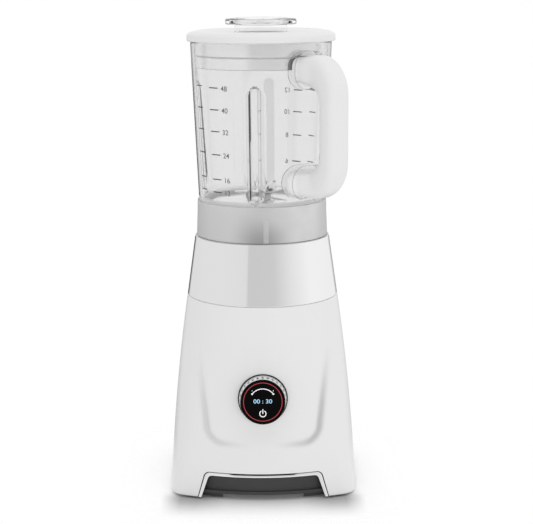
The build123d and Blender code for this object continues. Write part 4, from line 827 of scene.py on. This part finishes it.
jar_turns = []
for flute in flutes:
    jar_turns += [flute[0] + offset for offset in np.linspace(-flute_half_turn, flute_half_turn, 33)]
    jar_turns += [flute[0] + offset for offset in np.linspace(flute_half_turn, 90 - flute_half_turn, 38)[1:-1]]
wall_heights = [*np.linspace(266, 284, 13), *np.linspace(287, 357, 25)[:-1]]
wall_heights += [*np.linspace(357, 377, 14), *np.linspace(381, 411, 9)]
neck_out = [(jar_neck_radius, jar_foot + 0.4), (jar_neck_radius, 256), (jar_neck_radius, 262.6)]
neck_out += [(54.7, 262.9), (55.1, 263.0), (57.2, 263.0), (57.9, 263.25), (58.35, 263.9)]
wall_out = [(jar_radius(height), height) for height in wall_heights]
jar_rim = [(65.2, 412.6), (65.0, 413.4), (64.4, 413.9), (63.7, 414.0), (63.1, 413.8), (62.6, 413.2)]
jar_rim += [(62.3, 412.3)]
wall_in = [(jar_radius(height) - jar_wall, height) for height in wall_heights[::-1] if height > inner_foot]
neck_in = [(55.75, 269.4), (55.5, 268.5), (53.2, 265.8), (51.2, 263.4), (jar_bore, 262.6)]
neck_in += [(jar_bore, 255), (jar_bore, jar_foot + 0.4), (51.3, jar_foot), (54.1, jar_foot)]
jar_runs = ((neck_out, ""), (wall_out, "outer"), (jar_rim, ""), (wall_in, "inner"), (neck_in, ""))
jar_points, flute_shade_values, flute_highlight_values = [], [], []
for run, wall in jar_runs:
    for radius, height in run:
        on_line = wall == "outer" and flute_foot + line_end_gap < height < flute_top - line_end_gap
        for turn in jar_turns:
            dent = flute_dent(turn, height, wall == "inner") if wall else 0
            in_back = back_flute[0] < turn < back_flute[1]
            shade = back_shade * min(dent / back_shade_depth, 1.0) if in_back else 0.0
            aside = math.radians(turn - flutes[0][0]) * radius
            for line, half_line, strength in flute_lines:
                if on_line and abs(aside - line) < half_line:
                    shade = strength
            flute_shade_values.append(shade)
            in_left = left_flute[0] < turn < left_flute[1]
            flute_highlight_values.append(min(dent / left_highlight_depth, 1.0) if in_left else 0.0)
            across, ahead = math.sin(math.radians(turn)), -math.cos(math.radians(turn))
            jar_points.append(((radius - dent) * across, (radius - dent) * ahead, height))
jar_faces = ring_faces(len(jar_points) // len(jar_turns), len(jar_turns), "joined")


def mix_shaders(material, share, first, second):
    """Shows two shaders of a material, mixed by a share of the second."""
    mix = add_node(material, "MixShader", {0: share, 1: first, 2: second})
    output = material.node_tree.nodes["Material Output"]
    material.node_tree.links.new(mix.outputs["Shader"], output.inputs["Surface"])


def clear_moulding(name, light, dark, **sockets):
    """Clear plastic that lets light through to what stands behind it without a hard shadow."""
    material = surfaced(name, light, dark, 8.0, 0.0006, Transmission_Weight=1.0, **sockets)
    shader = material.node_tree.nodes["Principled BSDF"].outputs["BSDF"]
    shadow = add_node(material, "LightPath", {}).outputs["Is Shadow Ray"]
    passing = add_node(material, "BsdfTransparent", {"Color": colour("#fdfdfd")}).outputs["BSDF"]
    mix_shaders(material, shadow, shader, passing)
    return material


# Copolyester, moulded and clear: glassy, with a slight grey tint through the wall; painted shade where the wall
# turns away, at the bends of the front flute and in the back flute, and a painted highlight down the left flute
clear_copolyester = clear_moulding("clear_copolyester", "#f1f1f1", "#eeeeee", Roughness=0.015, IOR=1.5)
# Painted shade: dark lines on the front flute and grey in the back flute
tint(clear_copolyester, "flute_shade", "#141414")
# Painted shade: the wall's colour turns dark where it turns away from view
glance = add_node(clear_copolyester, "LayerWeight", {"Blend": 0.5}).outputs["Facing"]
glance = {"Value": glance, "From Min": 0.6, "From Max": 0.92}
glance = add_node(clear_copolyester, "MapRange", glance, interpolation_type="SMOOTHSTEP")
tint(clear_copolyester, glance.outputs["Result"], "#2c2c2c")
# Painted highlight: white down the left flute
tint(clear_copolyester, "flute_highlight", "#ffffff")
jar = mesh_piece("jar_body", jar_points, jar_faces, "jar", clear_copolyester, ["jar"])
mark(jar, "flute_shade", flute_shade_values)
mark(jar, "flute_highlight", flute_highlight_values)

# The jar's foot, where the collar grips it: frosted by the tool, so it scatters a pale ring of light
frosted_foot = surfaced(
    "frosted_copolyester_foot", "#ffffff", "#fbfbfb", 2.0, 0.01, Roughness=0.3, IOR=1.3, Transmission_Weight=0.5
)
frosted = frosted_foot.node_tree.nodes["Principled BSDF"].outputs["BSDF"]
glow = add_node(frosted_foot, "BsdfTranslucent", {"Color": colour("#ffffff")}).outputs["BSDF"]
mix_shaders(frosted_foot, 0.5, frosted, glow)
jar.data.materials.append(frosted_foot)
for face in jar.data.polygons:
    in_frost = all(jar.data.vertices[corner].co.z < frost_top / 1000 for corner in face.vertices)
    face.material_index = int(in_frost)

# Looking at the jar along the handle's arms: x to the right, y up, depth away from the jar's axis
handle_view = Matrix.Rotation(handle_turn, 4, "Z") @ front_view
# Copolyester bonded to the white arms: nearly invisible, but for a painted shade line round its edge
clear_bond = clear_moulding("clear_copolyester_bonded", "#fbfbfb", "#f8f8f8", Roughness=0.02, IOR=1.04)
tint(clear_bond, "outline", "#202020")
# Rings from the jar's wall outwards: share of the outline, distance from the wall or from the end, and strength
# of the painted shade line
socket_rings = [(share, 0.05, None, 0.0) for share in (0.05, 0.4, 0.75, 0.97)]
socket_rings += [(1, 0.05, None, 1.0), (1, 1.0, None, 0.0), (1, None, 2.6, 0.0), (1, None, 1.6, 0.7)]
socket_rings += [(0.99, None, 0.6, 0.0), (0.95, None, 0.1, 0.0), (0.9, None, 0.0, 0.0)]
for name, middle, height, width in sockets:
    corners = [(x * width / 2, y * height / 2) for x, y in ((-1, -1), (1, -1), (1, 1), (-1, 1))]
    outline = rounded([(x, y, socket_corner) for x, y in corners], 12)
    socket_points, edge_shade_values = [], []
    for share, off_wall, off_end, line in socket_rings:
        for x, y in outline:
            wall = math.sqrt(jar_radius(middle + y * share) ** 2 - (x * share) ** 2)
            depth = socket_reach - off_end if off_wall is None else wall + off_wall
            socket_points.append(handle_view @ Vector((x * share, middle + y * share, depth)))
            edge_shade_values.append(line)
    socket_faces = ring_faces(len(socket_rings), len(outline), "capped")
    socket = mesh_piece(name, socket_points, socket_faces, "jar", clear_bond)
    # Painted shade: the dark line round the socket's edge
    mark(socket, "outline", edge_shade_values)


# Volume scale: grey screen print on the outside of the jar, once at the front left and once at the back
# right. Each has numbers with ticks beside them, and a second row of ticks further round.

front_marks = ((372.6, "48"), (353.0, "40"), (333.4, "32"), (312.3, "24"), (289.8, "16"), (278.0, "12"))
back_marks = ((362.6, "12"), (341.8, "10"), (319.5, "8"), (294.4, "6"))
number_size = 6.6
number_turn = -31.5
# Turn in degrees and rise of the ticks beside the numbers, and of those further round
tick_places = ((-42.5, 0.6), (-62, 1.6))
tick_length = 10.5
tick_width = 1.0
ink_thickness = 0.06
# Epoxy ink, screen printed: grey and slightly uneven where the screen left it thin
grey_ink = surfaced("grey_screen_print", "#5b5d60", "#505255", 0.4, 0.005, Roughness=0.5)


def on_jar(points, turn, height):
    """Wraps flat points round the outside of the jar, centred on a turn in degrees and a height."""
    wrapped = []
    for x, y, depth in points:
        angle = math.radians(turn) + x / jar_radius(height)
        reach = jar_radius(height + y) + ink_thickness + depth
        wrapped.append((reach * math.sin(angle), -reach * math.cos(angle), height + y))
    return wrapped


tick_line = np.linspace(-tick_length / 2, tick_length / 2, 9)
tick = [(x, -tick_width / 2) for x in tick_line] + [(x, tick_width / 2) for x in tick_line[::-1]]
tick = prisms([tick], -ink_thickness / 2, ink_thickness / 2)
for place, scale_turn, marks in (("front", 0, front_marks), ("back", 187, back_marks)):
    scale_points, scale_faces = [], []
    for height, number in marks:
        row = [(numerals(number, number_size), number_turn, 0)]
        row += [(tick, turn, rise) for turn, rise in tick_places]
        for (points, faces), turn, rise in row:
            start = len(scale_points)
            scale_points += on_jar(points, scale_turn + turn, height + rise)
            scale_faces += [[start + corner for corner in face] for face in faces]
    mesh_piece("volume_scale_" + place, scale_points, scale_faces, "jar", grey_ink)


# Handle: one white ABS loop, moulded, with a full soft section. Its two arms are pressed and bonded into the
# jar's clear sockets.

# Each edge of the loop: its top, its bottom, its reach from the jar's axis and its corner radius
loop_outside = (404, 275.3, 113.5, 34)
loop_inside = (374, 301, 93, 15)
# Upper arm and lower arm: where each starts, how far it flares sideways and how much slimmer it is there
handle_roots = (64.8, 61.0)
root_flares = (4.0, 7.0)
root_slims = (0.22, 0.1)
flare_reach = 88.0
handle_middle = 340.0
handle_half_width = 11.5
handle_square = 3.4
section_steps = 56
arm_rows, bend_rows, grip_rows = 10, 26, 20


def loop_line(top, bottom, reach, corner):
    """One edge of the handle in the (reach, height) plane, from the upper arm round to the lower one."""
    line = [(x, top) for x in np.linspace(handle_roots[0], reach - corner, arm_rows)]
    for turn in np.radians(np.linspace(90, 0, bend_rows)[1:]):
        line.append((reach - corner + corner * math.cos(turn), top - corner + corner * math.sin(turn)))
    line += [(reach, z) for z in np.linspace(top - corner, bottom + corner, grip_rows)[1:]]
    for turn in np.radians(np.linspace(0, -90, bend_rows)[1:]):
        line.append((reach - corner + corner * math.cos(turn), bottom + corner + corner * math.sin(turn)))
    return line + [(x, bottom) for x in np.linspace(reach - corner, handle_roots[1], arm_rows)[1:]]


handle_points = []
for outer, inner in zip(loop_line(*loop_outside), loop_line(*loop_inside)):
    middle = (Vector(outer) + Vector(inner)) / 2
    half = (Vector(outer) - Vector(inner)) / 2
    arm = 0 if middle.y > handle_middle else 1
    near_root = float(smooth_step((flare_reach - middle.x) / (flare_reach - handle_roots[arm])))
    half_width = handle_half_width + root_flares[arm] * near_root
    half *= 1 - root_slims[arm] * near_root
    for step in range(section_steps):
        turn = math.tau * step / section_steps
        bulge_out = math.copysign(abs(math.cos(turn)) ** (2 / handle_square), math.cos(turn))
        bulge_side = math.copysign(abs(math.sin(turn)) ** (2 / handle_square), math.sin(turn))
        reach, height = middle + half * bulge_out
        handle_points.append(handle_view @ Vector((half_width * bulge_side, height, reach)))
handle_faces = ring_faces(len(handle_points) // section_steps, section_steps, "capped")
mesh_piece("handle_loop", handle_points, handle_faces, "jar", white_abs, ["handle"])


# Collar: a translucent grey copolyester skirt, moulded, screwed up under the jar's neck so that it clamps the
# blade unit. Its foot drops into the jar seat, and a key moulded on the skirt guides it there.

collar_corners = [(55.8, 208.2, 0.4), (58.4, 208.2, 0.6), (58.4, 233.5, 0.3), (61.1, 233.5, 0.8)]
collar_corners += [(60.2, 258, 12), (60.1, 266.6, 0.6), (58.95, 266.6, 0.3), (58.8, 262.8, 0)]
collar_corners += [(54.8, 262.8, 0.3), (54.8, 243, 0.4), (46, 243, 0.4), (46, 239, 0.4), (55.8, 239, 1.0)]
key_corners = [(60.4, 234.2, 0), (61.55, 234.2, 0.4), (60.85, 255.6, 0.4), (59.9, 255.6, 0)]
key_turns = np.radians(np.linspace(1.2, 5.8, 9))
# Copolyester, moulded in a blasted tool: frosted grey that lets soft light through. Painted shade greys its
# left side and darkens both edges, and a painted soft dark column, deepest near the seat, stands for the
# drive's shade behind it
frosted_copolyester = surfaced(
    "frosted_copolyester", "#fbfbfb", "#e6e6e6", 18.0, 0.01, Roughness=0.36, IOR=1.5, Transmission_Weight=0.3
)
place = add_node(frosted_copolyester, "TexCoord", {}).outputs["Object"]
across, _, up = add_node(frosted_copolyester, "SeparateXYZ", {"Vector": place}).outputs
aside = add_node(frosted_copolyester, "Math", {0: across}, operation="ABSOLUTE").outputs["Value"]
limits = []
for value, bright_at, dark_at, least in (
    (across, 30, -55, 0.0),
    (aside, 46, 61, 0.0),
    (aside, 32, 2, 0.0),
    (up, 262, 234, 0.3),
):
    limit = {"Value": value, "From Min": bright_at / 1000, "From Max": dark_at / 1000, "To Min": least}
    limit = add_node(frosted_copolyester, "MapRange", limit, interpolation_type="SMOOTHSTEP")
    limits.append(limit.outputs["Result"])
left, edges, middle, low = limits
drive_shade = add_node(frosted_copolyester, "Math", {0: middle, 1: low}, operation="MULTIPLY")
# Painted shade: the greyer left side, the darker edges and the drive's dark column
for share, shade in ((left, "#e6e6e6"), (edges, "#d4d4d4"), (drive_shade.outputs["Value"], "#b0b0b0")):
    tint(frosted_copolyester, share, shade)
lathe(
    "frosted_collar", collar_corners, "jar", frosted_copolyester, ["jar_collar"]
)
key_section = rounded(key_corners, 4)
key_points = [(r * math.sin(t), -r * math.cos(t), z) for t in key_turns for r, z in key_section]
key_faces = ring_faces(len(key_turns), len(key_section), "capped")
mesh_piece("collar_key", key_points, key_faces, "jar", frosted_foot)


# Lid: white ABS, moulded, with a soft rim that sits on the jar's edge, a dished top round the cap's opening and
# a hollow plug that drops into the jar. The plug has a bright plated sleeve, and a silicone bead seals it.

lid_corners = [(57.7, 389, 0.6), (60.3, 389, 0.6), (60.3, 398, 0.2), (59.3, 398, 0), (59.3, 402, 0)]
lid_corners += [(60.3, 402, 0.2), (60.3, 414.3, 0.4), (65.7, 414.3, 0), (65.9, 412.8, 0.4)]
lid_corners += [(68.4, 412.8, 1.4), (68.5, 418.8, 2.4), (64.5, 421.2, 4), (57, 422.6, 7), (44, 420.8, 9)]
lid_corners += [(34, 419.8, 4), (28.5, 420.6, 2), (24.7, 420.6, 1.2), (24.7, 416.5, 0.4), (30, 416.5, 1)]
lid_corners += [(57.7, 417, 1.5)]
sleeve_corners = [(60.2, 389.6, 0), (60.55, 389.6, 0.2), (60.55, 413.6, 0.2), (60.2, 413.6, 0)]
seal_corners = [(60.3, 398.4, 0), (60.62, 399.4, 0.5), (60.62, 400.6, 0.5), (60.3, 401.6, 0)]
lathe("lid_moulding", lid_corners, "lid", white_abs, ["lid"], 8, 240)
# Bright plating over the moulded plug: a soft mirror that takes the tones of the room, with a painted grey
# reflection as a band at the middle
bright_plating = surfaced(
    "bright_plated_abs", "#ffffff", "#fcfcfc", 0.8, 0.0006, Metallic=0.72, Roughness=0.16
)
place = add_node(bright_plating, "TexCoord", {}).outputs["Object"]
across = add_node(bright_plating, "SeparateXYZ", {"Vector": place}).outputs["X"]
# Painted reflection: a grey band across the middle, between these limits in millimetres
stripe_sides = []
for bright_at, stripe_at in ((-13, -9), (45, 14)):
    side = {"Value": across, "From Min": bright_at / 1000, "From Max": stripe_at / 1000}
    stripe_sides.append(add_node(bright_plating, "MapRange", side).outputs["Result"])
painted_stripe = add_node(bright_plating, "Math", {0: stripe_sides[0], 1: stripe_sides[1]}, operation="MULTIPLY")
tint(bright_plating, painted_stripe.outputs["Value"], "#eeeeee")
lathe("plug_sleeve", sleeve_corners, "lid", bright_plating, arc=4)
lathe("plug_seal", seal_corners, "lid", milky_silicone, ["lid_seal"], 4)


# Measuring cap: a thick clear copolyester cup, moulded, whose stem plugs the opening in the lid. Its crown is
# slightly domed, and its broad rim is the grip.

cap_dome = 1.2
cap_corners = [(22, 398, 0.8), (24.2, 398, 0.8), (24.2, 427.7, 0.5), (32.8, 427.7, 1.3), (32.8, 432.6, 1.8)]
cap_corners += [(29.5, 433.2, 0.8)]
cap_corners += [(r, 433.2 + cap_dome * (1 - (r / 29.5) ** 2), 0) for r in (28.6, 26, 22, 17, 12, 7, 3, 0)]
cap_corners += [(r, 431 + cap_dome * (1 - (r / 22) ** 2), 0) for r in (0, 3, 7, 12, 16, 19, 21)]
cap_corners += [(22, 428, 0.8)]
# Copolyester, moulded thick: clear and almost without tint, with soft bends of light at its rim
thick_copolyester = clear_moulding(
    "clear_copolyester_thick", "#fdfdfd", "#fbfbfb", Roughness=0.015, IOR=1.38
)
lathe("clear_cap", cap_corners, "cap", thick_copolyester, ["measuring_cap"])


# Studio: a pale paper floor that fades into a white surround, three soft lamps, grey cards out of sight that
# give polished metal its tones, and the camera at the height of the photograph.

floor_rings = (60, 120, 180, 260, 400, 700, 1500)
floor_steps = 96
# Half the base's footprint, and where the paper starts and ends to fade round it, in metres
stand_half = (0.07, 0.075, 0)
paper_fade = (0.015, 0.085)
paper_lift = 0.13
surround_strength = 0.86
# Each lamp: its place in metres, its size in metres and its power in watts
lamps = (
    ("lamp_top", (0.05, -0.2, 1.7), 1.2, 2.0),
    ("lamp_front", (0.75, -1.75, 0.2), 1.0, 3.6),
    ("lamp_back", (-0.4, 1.9, 0.9), 1.0, 4.0),
)
lamp_aim = Vector((0, 0, 0.2))
picture_width = 533
focal_pixels = 1509.8
sensor_width = 36.0
camera_place = (0.004, -1.4, 0.48)
camera_down = 11.1
camera_roll = -0.31

scene = bpy.context.scene
scene.view_settings.view_transform = "Standard"

floor_points = []
for radius in floor_rings:
    floor_points += [(x / 1000, y / 1000, 0) for x, y in circle(radius, floor_steps)]
floor_faces = ring_faces(len(floor_rings), floor_steps) + [tuple(range(floor_steps))]
floor_mesh = bpy.data.meshes.new("studio_floor")
floor_mesh.from_pydata(floor_points, [], floor_faces)
floor = bpy.data.objects.new("studio_floor", floor_mesh)
scene.collection.objects.link(floor)
# Paper: white and matt, faded to nothing well away from the object, with a painted shadow in front of the base
paper = surfaced("white_paper", "#fafafa", "#f8f8f8", 3.0, 0.001, Roughness=0.9, Specular_IOR_Level=0.1)
place = add_node(paper, "TexCoord", {}).outputs["Object"]
outside = add_node(paper, "VectorMath", {0: place}, operation="ABSOLUTE").outputs["Vector"]
for operation, limit in (("SUBTRACT", stand_half), ("MAXIMUM", (0, 0, 0))):
    outside = add_node(paper, "VectorMath", {0: outside, 1: limit}, operation=operation).outputs["Vector"]
distance = add_node(paper, "VectorMath", {0: outside}, operation="LENGTH").outputs["Value"]
fade = {"Value": distance, "From Min": paper_fade[0], "From Max": paper_fade[1]}
fade = add_node(paper, "MapRange", fade, interpolation_type="SMOOTHSTEP").outputs["Result"]
across, ahead, _ = add_node(paper, "SeparateXYZ", {"Vector": place}).outputs
aside = add_node(paper, "Math", {0: across}, operation="ABSOLUTE").outputs["Value"]
# Painted shadow in front of the base: limits across and ahead, in millimetres
shaded = None
for value, clean_at, grey_at, least in (
    (ahead, -132, -84, 0.0),
    (aside, 94, 76, 0.0),
    (aside, 35, 62, 0.45),
    (ahead, -60, -75, 0.0),
):
    limit = {"Value": value, "From Min": clean_at / 1000, "From Max": grey_at / 1000, "To Min": least}
    limit = add_node(paper, "MapRange", limit).outputs["Result"]
    if shaded is not None:
        limit = add_node(paper, "Math", {0: shaded, 1: limit}, operation="MULTIPLY").outputs["Value"]
    shaded = limit
tint(paper, shaded, "#b2b2b2")
# Inside the painted shadow the white lift for camera rays is taken out
diffuse = add_node(paper, "LightPath", {}).outputs["Is Diffuse Ray"]
unlit = add_node(paper, "Math", {0: diffuse, 1: shaded}, operation="MAXIMUM").outputs["Value"]
lift = add_node(paper, "Math", {0: unlit, 1: -paper_lift, 2: paper_lift}, operation="MULTIPLY_ADD")
lift = add_node(paper, "Emission", {"Color": colour("#ffffff"), "Strength": lift.outputs["Value"]})
sheet = paper.node_tree.nodes["Principled BSDF"].outputs["BSDF"]
sheet = add_node(paper, "AddShader", {0: sheet, 1: lift.outputs["Emission"]}).outputs["Shader"]
mix_shaders(paper, fade, sheet, add_node(paper, "BsdfTransparent", {}).outputs["BSDF"])
floor_mesh.materials.append(paper)

world = bpy.data.worlds.new("white_surround")
scene.world = world
world.use_nodes = True
dim = world.node_tree.nodes["Background"]
dim.inputs["Color"].default_value = colour("#ffffff")
dim.inputs["Strength"].default_value = surround_strength
rays = add_node(world, "LightPath", {}).outputs
aim = add_node(world, "TexCoord", {}).outputs["Generated"]
across, ahead, up = add_node(world, "SeparateXYZ", {"Vector": aim}).outputs
front = add_node(world, "Math", {0: ahead, 1: -1.0}, operation="MULTIPLY").outputs["Value"]
turn = add_node(world, "Math", {0: across, 1: front}, operation="ARCTAN2").outputs["Value"]
turn = add_node(world, "MapRange", {"Value": turn, "From Min": -math.pi, "From Max": math.pi})
# Grey cards round the room, by turn in degrees from the front: as metal sees them at its own height and lower
# down, and as they show, much fainter, through clear plastic
front_cards = [(-60, 0.84), (-24, 0.82), (-22.5, 0.655), (18, 0.67), (45, 0.85), (80, 1.0)]
metal_cards = [(-180, 0.97), (-150, 0.84)] + front_cards + [(180, 0.97)]
low_cards = [(-180, 0.08), (-160, 0.1), (-150, 0.8)] + front_cards + [(150, 0.95), (162, 0.4), (180, 0.3)]
clear_cards = [(-80, 1.0), (-24, 0.97), (-22.5, 0.93), (18, 0.93), (45, 0.97), (80, 1.0)]
for middle, grey in ((-157.5, 0.9), (-112.5, 0.8), (112.5, 0.8), (157.5, 0.9)):
    clear_cards += [(middle - 9, 1.0), (middle - 6, grey), (middle + 6, grey), (middle + 9, 1.0)]
tones = []
for cards in (metal_cards, low_cards, sorted(clear_cards)):
    ramp = add_node(world, "ValToRGB", {"Fac": turn.outputs["Result"]})
    stops = ramp.color_ramp.elements
    while len(stops) < len(cards):
        stops.new(0.5)
    for stop, (angle, tone) in zip(stops, cards):
        stop.position = (angle + 180) / 360
        stop.color = (tone, tone, tone, 1)
    tones.append(ramp.outputs["Color"])
limits = []
for value, start, end in ((up, -0.04, -0.09), (up, -0.09, -0.19), (front, 0.0, 0.2), (up, -0.16, -0.24)):
    limit = add_node(world, "MapRange", {"Value": value, "From Min": start, "From Max": end})
    limits.append(limit.outputs["Result"])
down, low, forward, steep = limits
near_floor = add_node(world, "Math", {0: low, 1: forward}, operation="MULTIPLY").outputs["Value"]
white = colour("#ffffff")
through = add_node(world, "MixRGB", {"Fac": steep, "Color1": tones[2], "Color2": white}).outputs["Color"]
tone = tones[0]
for share, other in (
    (down, tones[1]),
    (near_floor, white),
    (rays["Is Transmission Ray"], through),
    (rays["Is Camera Ray"], white),
):
    tone = add_node(world, "MixRGB", {"Fac": share, "Color1": tone, "Color2": other}).outputs["Color"]
seen = rays["Is Camera Ray"]
for ray in ("Is Glossy Ray", "Is Transmission Ray"):
    seen = add_node(world, "Math", {0: seen, 1: rays[ray]}, operation="MAXIMUM").outputs["Value"]
bright = add_node(world, "Background", {"Color": tone, "Strength": 1.0}).outputs["Background"]
surround = add_node(world, "MixShader", {0: seen, 1: dim.outputs["Background"], 2: bright})
output = world.node_tree.nodes["World Output"]
world.node_tree.links.new(surround.outputs["Shader"], output.inputs["Surface"])

for name, place, size, power in lamps:
    lamp = bpy.data.lights.new(name, "AREA")
    lamp.size = size
    lamp.energy = power
    holder = bpy.data.objects.new(name, lamp)
    holder.location = place
    holder.rotation_euler = (lamp_aim - Vector(place)).to_track_quat("-Z", "Y").to_euler()
    holder.visible_glossy = False
    holder.visible_transmission = False
    scene.collection.objects.link(holder)

camera = bpy.data.cameras.new("camera")
camera.sensor_fit = "HORIZONTAL"
camera.sensor_width = sensor_width
camera.lens = focal_pixels * sensor_width / picture_width
camera.clip_end = 20.0
holder = bpy.data.objects.new("camera", camera)
holder.location = camera_place
tilt = Matrix.Rotation(math.radians(90 - camera_down), 3, "X")
holder.rotation_euler = (tilt @ Matrix.Rotation(math.radians(camera_roll), 3, "Z")).to_euler()
scene.collection.objects.link(holder)
scene.camera = holder
